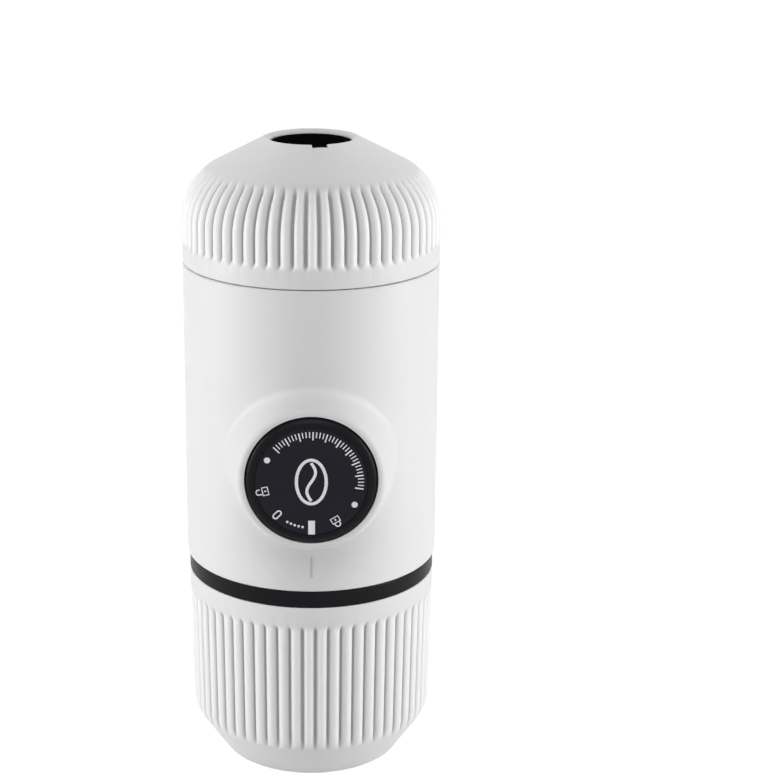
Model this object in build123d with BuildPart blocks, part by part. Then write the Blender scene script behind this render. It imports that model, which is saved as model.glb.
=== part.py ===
from build123d import *
import os
from math import cos, radians, sin, sqrt, tan

# Handheld manual espresso maker, stored upright with its cup on. Millimetres.
# The origin is the centre of the flat base, +Z goes up the body's axis, and the piston's cap faces -Y.
# From the base up: drinking cup over the water tank, collar, body with the hand pump, outlet head.

# ---------------------------------------------------------------- outside form
body_radius = 31.0
shell_wall = 2.0
cup_height = 48.2
collar_height = 4.45
body_height = 73.7
collar_inset = 0.5          # the collar's outer face lies this far inside the body's

# ---------------------------------------------------------------- edges and fits shared by many pieces
fine_edge = 0.2
edge = 0.3
soft_edge = 0.5
round_edge = 1.0
inner_round = 1.5
slip_fit = 0.1               # radial, between pieces that are put together once
press_fit = 0.05

# ---------------------------------------------------------------- drinking cup
cup_rim_inset = 0.43         # inside the body's side
cup_shoulder_inset = 1.0     # where the sloping foot meets the drafted wall
cup_shoulder_height = 11.3
cup_foot_setback = 8.8
cup_wall = 1.5
cup_floor = 1.8
cup_shoulder_round = 8.0
cup_foot_edge = 0.8
cup_foot_inset = 0.4         # the inner foot is this much narrower than the outer
cup_flute_count = 60
cup_plain_rim = 5.2          # above the flutes
cup_flute_phase = 1.9        # degrees of the first flute from +X

# ---------------------------------------------------------------- outlet cover
cover_shoulder_rise = 11.1   # parting line to the start of the shoulder
cover_shoulder_round = 14.0
cover_slope = 27.5           # degrees above level
cover_rim_radius = 11.2
outlet_hole_radius = 9.65
parting_gap = 0.3
cover_flute_count = 62
cover_flute_start = 5.4      # above the parting line
cover_flute_phase = 0.5
rim_crest = 0.4              # width of the flat on top of the rim
rim_drop = 0.75              # from the crest down to the hole's edge
rim_inner_round = 0.4
rim_outer_round = 1.0
parting_chamfer = 0.3

# ---------------------------------------------------------------- flutes
flute_radius = 0.62
flute_depth = 0.76

# ---------------------------------------------------------------- screw joints of the tank and the head
thread_starts = 4
thread_pitch = 3.2           # from one ridge to the next
thread_rise = 4.5            # height that each ridge climbs
thread_depth = 0.95
thread_clearance = 0.4
ridge_root_width = 1.5
ridge_crest_width = 0.9
ridge_sink = 0.2             # how far a ridge's foot reaches into its wall
ridge_start = 0.5            # clear height under a ridge's first turn

# ---------------------------------------------------------------- chassis
socket_wall = 2.6
socket_depth = 8.35
deck_thickness = 3.0
web_thickness = 3.0
brew_neck_inset = 4.4        # neck's outer face inside the shell's inner face
brew_neck_wall = 2.4
basket_rise = 9.15           # basket's top above the parting line
plenum_height = 2.5
ledge_width = 3.2
top_flange = 2.0
post_radius = 3.0            # stands in the plenum and takes the shower screen's screw
post_screw_depth = 2.0       # the screw's hole goes this far into the deck

# ---------------------------------------------------------------- coffee basket, screens and scoop
screen_thickness = 0.8
screen_hole_radius = 0.55
screen_rings = 6
basket_gasket_height = 2.0
basket_height = 20.5
basket_wall = 0.8
basket_side_gap = 1.6
basket_flange_gap = 0.4
basket_flange_height = 1.2
scoop_height = 18.3
scoop_wall = 1.2
scoop_side_gap = 0.9
sieve_hole_radius = 0.5
sieve_pitch = 2.4

# ---------------------------------------------------------------- outlet head
head_gasket_height = 0.9
head_gasket_width = 4.0
outlet_screen_thickness = 0.6
head_roof = 2.5
head_skirt_wall = 1.6
neck_clearance = 0.2
throat_wall = 1.2
spout_base_radius = 6.0
spout_tip_radius = 3.4
spout_bore = 1.6
spout_recess = 3.4           # spout's tip below the rim
throat_recess = 0.95
hood_gap = 1.0               # from the parting line up to the hood's lower edge
rib_thickness = 1.2
rib_count = 8
crema_valve_radius = 4.5
crema_valve_height = 1.4
crema_slit = 0.2
key_angle = -80.0            # degrees from +X
key_width = 3.4
key_depth = 2.0
key_rise = 0.45              # above the throat's edge
key_overhang = 0.7           # past the rim's outer radius
key_clearance = 0.15

# ---------------------------------------------------------------- water tank
tank_gasket_height = 1.4
tank_neck_wall = 2.0
tank_wall = 1.8
tank_side_gap = 1.3
tank_floor_gap = 4.8
tank_foot_inset = 6.5
tank_bead = 1.0
bead_height = 4.6
bead_groove_depth = 0.2      # below the tank's own wall
bead_groove_width = 2.0
grip_ring_section = 0.88

# ---------------------------------------------------------------- pump
pump_rise = 31.05            # pump axis above the body's lower edge
index_line_rise = 6.2
index_line_width = 0.6
index_line_length = 5.2
index_line_depth = 0.3
cap_projection = 9.0         # cap's face in front of the body
cap_radius = 15.15
cap_rim_width = 2.1          # from the plate's pocket out to the cap's side
cap_bevel_width = 1.3
cap_bevel_depth = 0.8
cap_face_round = 2.0
cap_side_round = 1.2
cap_clearance = 0.3
cap_plate_thickness = 0.8
skirt_step = 0.35            # skirt's side inside the cap's
skirt_wall = 1.6
skirt_back = -6.0            # Y of the skirt's inner end
flare_projection = 8.1       # lip of the flare in front of the body
flare_lip_width = 1.6        # round the cap's clearance
flare_spread = 1.7           # from the lip to where the flare leaves the body's front
flare_foot_round = 2.2
flare_lip_round = 1.45
guide_clearance = 0.35
guide_wall = 1.65
guide_plate = 2.0
pump_bore = 7.0
cylinder_wall = 1.5
cylinder_front = -18.0
cylinder_back = 10.0
cylinder_flange = 1.5
cylinder_flange_width = 2.0
piston_stroke = 20.0
piston_head_length = 4.5
piston_side_clearance = 0.3
rod_radius = 3.0
rod_flange_gap = 1.1         # inside the skirt
rod_flange_thickness = 1.5
rod_flange_depth = 4.5       # rod's flange behind the cap's face
return_wire = 0.6            # radius
return_turns = 8
lock_turn = 46.0             # degrees from locked to free
lug_width = 14.0             # degrees
lug_height = 1.0
lug_length = 3.0
lug_clearance = 0.3
track_margin = 1.5           # degrees past a lug at each end of its track

# ---------------------------------------------------------------- valves
tower_offset = 19.0          # valve tower's axis behind the body's axis
tower_radius = 5.5
valve_bore = 2.75
duct_radius = 1.5
ball_radius = 2.2
ball_lift_gap = 0.05
inlet_seat_rise = 6.0        # above the lower deck
outlet_seat_rise = 25.0
valve_chamber = 9.5          # seat to spring stop
valve_spring_wire = 0.2      # radius
valve_spring_radius = 1.7
valve_spring_turns = 5
stop_height = 2.0
block_rim = 2.6              # outside the screws' circle
block_wall = 4.0             # behind the cylinder
duct_seal_inner = 3.0
duct_seal_outer = 4.2
duct_seal_height = 1.0
vent_spot = (-12.0, -12.0)
vent_stem_radius = 2.4
vent_flange = 1.2
vent_flange_thickness = 0.9
vent_bill_length = 3.0
vent_bill_width = 3.6
filter_thickness = 0.8
filter_hole_radius = 0.35
filter_pitch = 1.2

# ---------------------------------------------------------------- screws
screw_count = 4
screw_head_gap = 0.4         # from the return spring
screw_radius = 1.2
screw_head_radius = 1.7
screw_head_height = 1.8
screw_tip_cover = 1.5        # material left behind a screw's hole
cap_screw_radius = 1.5
cap_screw_head = 2.9
cap_screw_length = 9.0       # into the rod
screen_screw_head = 2.6
screen_screw_head_height = 1.6

# ---------------------------------------------------------------- levels and radii that follow
body_bottom = cup_height + collar_height
body_top = body_bottom + body_height
shell_bore = body_radius - shell_wall
cup_rim_radius = body_radius - cup_rim_inset
cup_shoulder_radius = body_radius - cup_shoulder_inset
cup_foot_radius = body_radius - cup_foot_setback
cup_flute_top = cup_height - cup_plain_rim
chassis_radius = shell_bore - slip_fit
pump_height = body_bottom + pump_rise
pump_axis = Axis((0, 0, pump_height), (0, 1, 0))
thread_lead = thread_pitch * thread_starts
ridge_reach = ridge_root_width / 2

socket_ceiling = body_bottom + socket_depth
lower_deck_top = socket_ceiling + deck_thickness
socket_radius = chassis_radius - socket_wall
tank_neck_radius = socket_radius - thread_depth - thread_clearance
tank_neck_top = socket_ceiling - tank_gasket_height
tank_bore = tank_neck_radius - tank_neck_wall

basket_top = body_top + basket_rise
basket_bottom = basket_top - basket_height
screen_top = basket_bottom - basket_gasket_height
ledge_height = screen_top - screen_thickness
well_floor = ledge_height - plenum_height
upper_deck_bottom = well_floor - deck_thickness
brew_neck_radius = shell_bore - brew_neck_inset
well_radius = brew_neck_radius - brew_neck_wall
brew_neck_top = basket_top + neck_clearance
basket_radius = well_radius - basket_side_gap
scoop_radius = basket_radius - basket_wall - scoop_side_gap

head_bore = brew_neck_radius + thread_depth + thread_clearance
head_skirt_radius = head_bore + head_skirt_wall
outlet_screen_bottom = basket_top + head_gasket_height
roof_bottom = outlet_screen_bottom + outlet_screen_thickness
roof_top = roof_bottom + head_roof
throat_radius = outlet_hole_radius - press_fit * 3

lip_face = -(body_radius + flare_projection)
cap_face = -(body_radius + cap_projection)
skirt_radius = cap_radius - skirt_step
flare_lip_radius = cap_radius + cap_clearance + flare_lip_width
flare_base_radius = flare_lip_radius + flare_spread
rod_flange_radius = skirt_radius - skirt_wall - rod_flange_gap
guide_bore = skirt_radius + guide_clearance
guide_radius = guide_bore + guide_wall
guide_front = -body_radius
web_back = guide_plate + web_thickness
cylinder_radius = pump_bore + cylinder_wall
return_radius = cylinder_radius + 2 * return_wire
screw_circle = return_radius + return_wire + screw_head_gap + screw_head_radius
block_radius = screw_circle + block_rim


def shoulder_end(thickness):
    """Point (radius, height) where the cover's shoulder runs into its cone, for the skin at this depth."""
    turn = radians(90 - cover_slope)
    round_here = cover_shoulder_round - thickness
    centre = body_radius - cover_shoulder_round
    return centre + round_here * cos(turn), body_top + cover_shoulder_rise + round_here * sin(turn)


def cone_height(radius, thickness):
    """Height of the cover's cone at this radius, for the skin at this depth."""
    start_radius, start_height = shoulder_end(thickness)
    return start_height + (start_radius - radius) * tan(radians(cover_slope))


overall_height = cone_height(cover_rim_radius, 0)

os.makedirs("parts", exist_ok=True)


def save(piece, name):
    """Label a finished piece and write it to its own file."""
    piece.part.label = name
    export_step(piece.part, f"parts/{name}.step")


def turned(corners):
    """Solid of revolution about Z from (radius, height, corner radius) points."""
    with BuildPart() as solid:
        with BuildSketch(Plane.XZ) as outline:
            with BuildLine():
                Polyline(*[(r, z) for r, z, _ in corners], close=True)
            make_face()
            for r, z, rounding in corners:
                if rounding:
                    fillet(outline.vertices().sort_by_distance((r, z))[0], rounding)
        revolve(axis=Axis.Z)
    return solid.part


def turned_on_pump(corners):
    """Solid of revolution about the pump's axis from (y, radius, corner radius) points."""
    with BuildPart() as solid:
        with BuildSketch(Plane.YZ) as outline:
            with BuildLine():
                Polyline(*[(y, pump_height + r) for y, r, _ in corners], close=True)
            make_face()
            for y, r, rounding in corners:
                if rounding:
                    fillet(outline.vertices().sort_by_distance((y, pump_height + r))[0], rounding)
        revolve(axis=pump_axis)
    return solid.part


def ring(inner, outer, bottom, height):
    """Plain upright ring."""
    with BuildPart() as solid:
        with BuildSketch(Plane.XY.offset(bottom)):
            Circle(outer)
            Circle(inner, mode=Mode.SUBTRACT)
        extrude(amount=height)
    return solid.part


def thread_ridges(root, outward, start_height):
    """Four helical ridges on a wall of this radius, crests outward (1) or inward (-1)."""
    foot = -outward * ridge_sink
    crest = outward * thread_depth
    with BuildPart() as ridge:
        with BuildLine() as path:
            Helix(pitch=thread_lead, height=thread_rise, radius=root, center=(0, 0, start_height))
        with BuildSketch(Plane(origin=path.line @ 0, x_dir=(1, 0, 0), z_dir=path.line % 0)):
            with BuildLine():
                Polyline(
                    (foot, -ridge_root_width / 2),
                    (crest, -ridge_crest_width / 2),
                    (crest, ridge_crest_width / 2),
                    (foot, ridge_root_width / 2),
                    close=True,
                )
            make_face()
        sweep(is_frenet=True)
    with BuildPart() as ridges:
        with PolarLocations(0, thread_starts):
            add(ridge.part)
    return ridges.part


def coil(start, direction, length, turns, mean_radius, wire_radius):
    """Open coil spring."""
    with BuildPart() as spring:
        with BuildLine() as path:
            Helix(pitch=length / turns, height=length, radius=mean_radius, center=start, direction=direction)
        with BuildSketch(Plane(origin=path.line @ 0, z_dir=path.line % 0)):
            Circle(wire_radius)
        sweep(is_frenet=True)
    return spring.part


def perforated_disc(radius, bottom, thickness, centre_hole, rings, first_ring):
    """Disc with rings of small holes, one more sixfold step in each ring."""
    spacing = (radius - first_ring) / rings
    with BuildPart() as disc:
        with BuildSketch(Plane.XY.offset(bottom)):
            Circle(radius)
            if centre_hole:
                Circle(centre_hole, mode=Mode.SUBTRACT)
            for step in range(rings):
                with PolarLocations(first_ring + spacing * step, 6 * (step + 2)):
                    Circle(screen_hole_radius, mode=Mode.SUBTRACT)
        extrude(amount=thickness)
    return disc.part


def ring_sector(inner, outer, start_angle, angle, front, back):
    """Part of a ring about the pump's axis, angles seen from the front, between two Y planes."""
    centre = (0, pump_height)
    with BuildPart() as sector:
        with BuildSketch(Plane.XZ.offset(-back)):
            with BuildLine():
                outer_arc = CenterArc(centre, outer, start_angle, angle)
                inner_arc = CenterArc(centre, inner, start_angle, angle)
                Line(outer_arc @ 0, inner_arc @ 0)
                Line(outer_arc @ 1, inner_arc @ 1)
            make_face()
        extrude(amount=back - front)
    return sector.part


# ================================================================ drinking cup
# A drafted cup with a sloping foot; its rim stops against the tank's collar.
wall_draft = (cup_rim_radius - cup_shoulder_radius) / (cup_height - cup_shoulder_height)
foot_slope = cup_shoulder_height / (cup_shoulder_radius - cup_foot_radius)
inner_foot_radius = cup_foot_radius - cup_foot_inset
inner_shoulder_radius = cup_shoulder_radius - cup_wall
inner_shoulder_height = cup_floor + foot_slope * (inner_shoulder_radius - inner_foot_radius)

with BuildPart() as cup_flute:
    flute_axis = cup_shoulder_radius + flute_radius - flute_depth
    with BuildLine(Plane.XZ) as flute_path:
        Line(
            (flute_axis + wall_draft * (cup_flute_top - cup_shoulder_height), cup_flute_top),
            (flute_axis - wall_draft * cup_shoulder_height, 0),
        )
    with BuildSketch(Plane(origin=flute_path.line @ 0, z_dir=flute_path.line % 0)):
        Circle(flute_radius)
    sweep()
    with Locations(flute_path.line @ 0):
        Sphere(flute_radius)

with BuildPart() as cup_flutes:
    with PolarLocations(0, cup_flute_count, start_angle=cup_flute_phase):
        add(cup_flute.part)

with BuildPart() as drinking_cup:
    add(
        turned(
            [
                (0, 0, 0),
                (cup_foot_radius, 0, cup_foot_edge),
                (cup_shoulder_radius, cup_shoulder_height, cup_shoulder_round),
                (cup_rim_radius, cup_height, edge),
                (cup_rim_radius - cup_wall, cup_height, edge),
                (inner_shoulder_radius, inner_shoulder_height, cup_shoulder_round - cup_wall),
                (inner_foot_radius, cup_floor, inner_round),
                (0, cup_floor, 0),
            ]
        )
    )
    add(cup_flutes.part, mode=Mode.SUBTRACT)
save(drinking_cup, "drinking_cup")

# ================================================================ water tank
# The tank nests in the cup; its neck screws up into the body and its bead carries the collar.
tank_bottom = cup_floor + tank_floor_gap
tank_radius = inner_shoulder_radius - tank_side_gap
tank_foot_radius = tank_radius - tank_foot_inset
tank_shoulder_height = tank_bottom + foot_slope * (tank_radius - tank_foot_radius)
tank_shoulder_round = 6.0
bead_radius = tank_radius + tank_bead
bead_groove_radius = tank_radius - bead_groove_depth
collar_seat_radius = tank_radius + slip_fit
ring_height = cup_height - bead_height / 2

with BuildPart() as water_tank:
    add(
        turned(
            [
                (0, tank_bottom, 0),
                (tank_foot_radius, tank_bottom, inner_round),
                (tank_radius, tank_shoulder_height, tank_shoulder_round),
                (tank_radius, cup_height - bead_height - tank_bead, 0),
                (bead_radius, cup_height - bead_height, 0),
                (bead_radius, cup_height, 0),
                (tank_radius, cup_height, 0),
                (tank_radius, body_bottom, 0),
                (tank_neck_radius, body_bottom, 0),
                (tank_neck_radius, tank_neck_top, edge),
                (tank_bore, tank_neck_top, edge),
                (tank_bore, body_bottom - tank_wall, inner_round),
                (tank_radius - tank_wall, body_bottom - 2 * tank_wall, round_edge),
                (tank_radius - tank_wall, tank_shoulder_height + 0.5, tank_shoulder_round - 1.0),
                (tank_foot_radius - 1.0, tank_bottom + tank_wall, inner_round),
                (0, tank_bottom + tank_wall, 0),
            ]
        )
    )
    add(
        ring(bead_groove_radius, bead_radius + 1, ring_height - bead_groove_width / 2, bead_groove_width),
        mode=Mode.SUBTRACT,
    )
    add(thread_ridges(tank_neck_radius, 1, body_bottom + ridge_reach + ridge_start))
save(water_tank, "water_tank")

# Soft-touch collar that shows as the dark band between the cup and the body.
with BuildPart() as tank_collar:
    add(
        turned(
            [
                (collar_seat_radius, cup_height, 0),
                (body_radius - collar_inset, cup_height, edge),
                (body_radius - collar_inset, body_bottom, soft_edge),
                (collar_seat_radius, body_bottom, 0),
            ]
        )
    )
save(tank_collar, "tank_collar")

# The ring in the tank's bead that holds the cup by friction.
with BuildPart() as grip_ring:
    with BuildSketch(Plane.XZ):
        with Locations((bead_groove_radius + grip_ring_section, ring_height)):
            Circle(grip_ring_section)
    revolve(axis=Axis.Z)
save(grip_ring, "grip_ring")

with BuildPart() as tank_gasket:
    add(ring(tank_bore, tank_neck_radius, tank_neck_top, tank_gasket_height))
save(tank_gasket, "tank_gasket")

# ================================================================ body shell
# A plain tube with a flare that rises round the piston's cap.
flare_growth = (flare_base_radius - flare_lip_radius) / flare_projection
flare_root = -(body_radius - 14.0)  # well inside the body, so that the cone leaves it cleanly
flare_root_radius = flare_base_radius + flare_growth * (body_radius + flare_root)

with BuildPart() as body_shell:
    with BuildSketch(Plane.XY.offset(body_bottom)):
        Circle(body_radius)
    extrude(amount=body_height)
    chamfer(body_shell.edges().filter_by(GeomType.CIRCLE), parting_chamfer)
    add(
        turned_on_pump(
            [
                (lip_face, 0, 0),
                (lip_face, flare_lip_radius, 0),
                (flare_root, flare_root_radius, 0),
                (flare_root, 0, 0),
            ]
        )
    )
    body_side = body_shell.faces().filter_by(GeomType.CYLINDER).sort_by(SortBy.AREA)[-1]
    flare_side = body_shell.faces().filter_by(GeomType.CONE).sort_by(Axis.Y)[0]
    flare_front = body_shell.faces().filter_by(GeomType.PLANE).sort_by(Axis.Y)[0]
    shared = [edge for edge in flare_side.edges() if edge in body_side.edges()]
    fillet(shared, flare_foot_round)
    fillet(flare_front.edges(), flare_lip_round)
    with BuildSketch(Plane.XY.offset(body_bottom)):
        Circle(shell_bore)
    extrude(amount=body_height, mode=Mode.SUBTRACT)
    with BuildSketch(Plane.XZ):
        with Locations((0, pump_height)):
            Circle(cap_radius + cap_clearance)
    extrude(amount=body_radius + cap_projection, mode=Mode.SUBTRACT)
    with BuildSketch(Plane.XZ):
        with Locations((0, pump_height)):
            Circle(guide_radius + slip_fit)
    extrude(amount=-guide_front, mode=Mode.SUBTRACT)
    # index line under the cap, which the cap's bar points at when it is locked
    with BuildSketch(Plane.XZ.offset(body_radius - index_line_depth)):
        with Locations((0, body_bottom + index_line_rise)):
            Rectangle(index_line_width, index_line_length)
    extrude(amount=2 * index_line_depth, mode=Mode.SUBTRACT)
save(body_shell, "body_shell")

# ================================================================ chassis
# One moulding inside the shell: tank socket below, web for the pump, coffee well and neck above.
tower_spot = (0, tower_offset)
screw_hole = screw_radius + slip_fit
cylinder_hole = cylinder_radius + 2 * slip_fit
head_thread_start = top_flange + ridge_reach

with BuildPart() as chassis:
    add(ring(socket_radius, chassis_radius, body_bottom, socket_depth))
    add(thread_ridges(socket_radius, -1, body_bottom + ridge_reach + ridge_start + thread_pitch / 2))
    with BuildSketch(Plane.XY.offset(socket_ceiling)):
        Circle(chassis_radius)
        with Locations(tower_spot):
            Circle(duct_radius, mode=Mode.SUBTRACT)
        with Locations(vent_spot):
            Circle(vent_stem_radius + slip_fit, mode=Mode.SUBTRACT)
    extrude(amount=deck_thickness)
    with BuildSketch(Plane.XY.offset(upper_deck_bottom)):
        Circle(chassis_radius)
        with Locations(tower_spot):
            Circle(duct_radius, mode=Mode.SUBTRACT)
    extrude(amount=deck_thickness)
    add(ring(well_radius - ledge_width, well_radius + brew_neck_wall, well_floor, plenum_height))
    add(ring(well_radius, brew_neck_radius, ledge_height, brew_neck_top - ledge_height))
    add(ring(well_radius, chassis_radius, body_top - top_flange, top_flange))
    add(thread_ridges(brew_neck_radius, 1, body_top + head_thread_start))
    # web across the middle, between the decks
    with BuildSketch(Plane.XY.offset(lower_deck_top)):
        with Locations((0, guide_plate + web_thickness / 2)):
            Rectangle(2 * sqrt((chassis_radius - edge) ** 2 - web_back**2), web_thickness)
    extrude(amount=upper_deck_bottom - lower_deck_top)
    with BuildSketch(Plane.XZ.offset(-web_back)):
        with Locations((0, pump_height)):
            Circle(cylinder_hole)
            with PolarLocations(screw_circle, screw_count, start_angle=45):
                Circle(screw_hole)
    extrude(amount=web_thickness, mode=Mode.SUBTRACT)
    # post for the shower screen's screw
    with BuildSketch(Plane.XY.offset(well_floor)):
        Circle(post_radius)
    extrude(amount=plenum_height)
    with BuildSketch(Plane.XY.offset(well_floor - post_screw_depth)):
        Circle(screw_hole)
    extrude(amount=ledge_height, mode=Mode.SUBTRACT)
save(chassis, "chassis")

# ================================================================ pump guide and cylinder
guide_track_outer = guide_bore + lug_height
track_half_turn = lug_width / 2 + track_margin
track_front = skirt_back - lug_length - piston_stroke - lug_clearance

with BuildPart() as piston_guide:
    add(
        turned_on_pump(
            [
                (guide_front, guide_bore, 0),
                (guide_front, guide_radius, edge),
                (guide_plate, guide_radius, 0),
                (guide_plate, cylinder_hole, 0),
                (0, cylinder_hole, 0),
                (0, guide_bore, 0),
            ]
        )
    )
    for side in (0, 180):
        add(
            ring_sector(
                guide_bore - soft_edge,
                guide_track_outer,
                side - track_half_turn,
                lock_turn + 2 * track_half_turn,
                track_front,
                0,
            ),
            mode=Mode.SUBTRACT,
        )
    with BuildSketch(Plane.XZ.offset(-guide_plate)):
        with Locations((0, pump_height)):
            with PolarLocations(screw_circle, screw_count, start_angle=45):
                Circle(screw_hole)
    extrude(amount=guide_plate, mode=Mode.SUBTRACT)
save(piston_guide, "piston_guide")

cylinder_flange_radius = cylinder_radius + cylinder_flange_width

with BuildPart() as pump_cylinder:
    add(
        turned_on_pump(
            [
                (cylinder_front, pump_bore, edge),
                (cylinder_front, cylinder_radius, edge),
                (web_back, cylinder_radius, 0),
                (web_back, cylinder_flange_radius, 0),
                (web_back + cylinder_flange, cylinder_flange_radius, 0),
                (web_back + cylinder_flange, cylinder_radius, 0),
                (cylinder_back, cylinder_radius, 0),
                (cylinder_back, pump_bore, 0),
            ]
        )
    )
save(pump_cylinder, "pump_cylinder")

# ================================================================ valve block
# A flange bolted behind the web, and an upright tower whose bore holds both check valves.
block_back = cylinder_back + block_wall
inlet_seat = lower_deck_top + inlet_seat_rise
outlet_seat = lower_deck_top + outlet_seat_rise
seat_cone = valve_bore - duct_radius

with BuildPart() as valve_block:
    with BuildSketch(Plane.XZ.offset(-block_back)):
        with Locations((0, pump_height)):
            Circle(block_radius)
    extrude(amount=block_back - web_back)
    with BuildSketch(Plane.XY.offset(lower_deck_top)):
        with Locations(tower_spot):
            Circle(tower_radius)
    extrude(amount=upper_deck_bottom - lower_deck_top)
    add(
        turned_on_pump(
            [
                (web_back, 0, 0),
                (web_back, cylinder_flange_radius + slip_fit, 0),
                (web_back + cylinder_flange, cylinder_flange_radius + slip_fit, 0),
                (web_back + cylinder_flange, cylinder_radius + slip_fit, 0),
                (cylinder_back, cylinder_radius + slip_fit, 0),
                (cylinder_back, duct_radius, 0),
                (tower_offset, duct_radius, 0),
                (tower_offset, 0, 0),
            ]
        ),
        mode=Mode.SUBTRACT,
    )
    with BuildSketch(Plane.XY.offset(lower_deck_top)):
        with Locations(tower_spot):
            Circle(duct_radius)
    extrude(amount=inlet_seat_rise, mode=Mode.SUBTRACT)
    with Locations((0, tower_offset, inlet_seat + seat_cone / 2)):
        Cone(duct_radius, valve_bore, seat_cone, mode=Mode.SUBTRACT)
    with BuildSketch(Plane.XY.offset(inlet_seat + seat_cone)):
        with Locations(tower_spot):
            Circle(valve_bore)
    extrude(until=Until.LAST, mode=Mode.SUBTRACT)
    for seal_bottom in (lower_deck_top, upper_deck_bottom - duct_seal_height):
        with BuildSketch(Plane.XY.offset(seal_bottom)):
            with Locations(tower_spot):
                Circle(duct_seal_outer + slip_fit)
                Circle(duct_seal_inner - slip_fit, mode=Mode.SUBTRACT)
        extrude(amount=duct_seal_height, mode=Mode.SUBTRACT)
    with BuildSketch(Plane.XZ.offset(-(block_back - screw_tip_cover))):
        with Locations((0, pump_height)):
            with PolarLocations(screw_circle, screw_count, start_angle=45):
                Circle(screw_hole)
    extrude(amount=block_back - screw_tip_cover - web_back, mode=Mode.SUBTRACT)
save(valve_block, "valve_block")

with BuildPart() as duct_seals:
    for seal_bottom in (lower_deck_top, upper_deck_bottom - duct_seal_height):
        with BuildSketch(Plane.XY.offset(seal_bottom)):
            with Locations(tower_spot):
                Circle(duct_seal_outer)
                Circle(duct_seal_inner, mode=Mode.SUBTRACT)
        extrude(amount=duct_seal_height)
save(duct_seals, "duct_seals")

# Three bushes pressed into the tower: a spring stop, the outlet valve's seat and a second stop.
insert_radius = valve_bore - 0.02
insert_hole = 1.3
seat_body = 2.5

with BuildPart() as valve_inserts:
    for stop_bottom in (inlet_seat + valve_chamber, outlet_seat + valve_chamber):
        with BuildSketch(Plane.XY.offset(stop_bottom)):
            with Locations(tower_spot):
                Circle(insert_radius)
                Circle(insert_hole, mode=Mode.SUBTRACT)
        extrude(amount=stop_height)
    with BuildSketch(Plane.XY.offset(outlet_seat - seat_body)):
        with Locations(tower_spot):
            Circle(insert_radius)
            Circle(duct_radius, mode=Mode.SUBTRACT)
    extrude(amount=seat_body + seat_cone - slip_fit)
    with Locations((0, tower_offset, outlet_seat + seat_cone / 2)):
        Cone(duct_radius, valve_bore, seat_cone, mode=Mode.SUBTRACT)
save(valve_inserts, "valve_inserts")

# A ball rests where its surface meets the 45 degree seat.
ball_rise = ball_radius * sqrt(2) - duct_radius + ball_lift_gap

for valve, seat in (("inlet", inlet_seat), ("outlet", outlet_seat)):
    with BuildPart() as ball:
        with Locations((0, tower_offset, seat + ball_rise)):
            Sphere(ball_radius)
    save(ball, f"{valve}_ball")
    spring_bottom = seat + ball_rise + sqrt(ball_radius**2 - valve_spring_radius**2) + 2 * valve_spring_wire
    spring_top = seat + valve_chamber - valve_spring_wire
    with BuildPart() as valve_spring:
        add(
            coil(
                (0, tower_offset, spring_bottom),
                (0, 0, 1),
                spring_top - spring_bottom,
                valve_spring_turns,
                valve_spring_radius,
                valve_spring_wire,
            )
        )
    save(valve_spring, f"{valve}_spring")

# Four screws clamp the guide, the web, the cylinder's flange and the valve block together.
with BuildPart() as pump_screws:
    with BuildSketch(Plane.XZ):
        with Locations((0, pump_height)):
            with PolarLocations(screw_circle, screw_count, start_angle=45):
                Circle(screw_head_radius)
    extrude(amount=screw_head_height)
    with BuildSketch(Plane.XZ.offset(-(block_back - 2 * screw_tip_cover))):
        with Locations((0, pump_height)):
            with PolarLocations(screw_circle, screw_count, start_angle=45):
                Circle(screw_radius)
    extrude(amount=block_back - 2 * screw_tip_cover)
save(pump_screws, "pump_screws")

# ================================================================ piston
flange_front = cap_face + rod_flange_depth
flange_back = flange_front + rod_flange_thickness
piston_back = cylinder_back - 1.5
piston_front = piston_back - piston_head_length
seal_section = 0.85
seal_groove = pump_bore - slip_fit - 2 * seal_section
groove_half = seal_section + slip_fit
piston_seal_y = (piston_front + piston_back) / 2
piston_radius = pump_bore - piston_side_clearance

with BuildPart() as piston_rod:
    add(
        turned_on_pump(
            [
                (flange_front, cap_screw_radius + press_fit, 0),
                (flange_front, rod_flange_radius, edge),
                (flange_back, rod_flange_radius, edge),
                (flange_back, rod_radius, 0),
                (piston_front, rod_radius, 0),
                (piston_front, piston_radius, edge),
                (piston_seal_y - groove_half, piston_radius, 0),
                (piston_seal_y - groove_half, seal_groove - press_fit, 0),
                (piston_seal_y + groove_half, seal_groove - press_fit, 0),
                (piston_seal_y + groove_half, piston_radius, 0),
                (piston_back, piston_radius, edge),
                (piston_back, 0, 0),
                (flange_front + cap_screw_length + 1.0, 0, 0),
                (flange_front + cap_screw_length + 1.0, cap_screw_radius + press_fit, 0),
            ]
        )
    )
save(piston_rod, "piston_rod")

with BuildPart() as piston_seal:
    with BuildSketch(Plane.YZ):
        with Locations((piston_seal_y, pump_height + seal_groove + seal_section)):
            Circle(seal_section)
    revolve(axis=pump_axis)
save(piston_seal, "piston_seal")

return_start = (0, -return_wire, pump_height)
return_length = -flange_back - 2 * return_wire

with BuildPart() as return_spring:
    add(coil(return_start, (0, -1, 0), return_length, return_turns, return_radius, return_wire))
save(return_spring, "return_spring")

# ================================================================ piston cap
plate_pocket = cap_radius - cap_rim_width
plate_radius = plate_pocket - press_fit
plate_back = cap_face + cap_plate_thickness
cap_back_face = flange_front - 1.0
cap_boss_radius = 5.0
cap_rear_face = lip_face + 0.8      # the cap's rim ends just inside the flare's lip
head_pocket = cap_screw_head + 0.4
pocket_back = plate_back + 1.8
shank_hole = cap_screw_radius + 0.3

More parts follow.
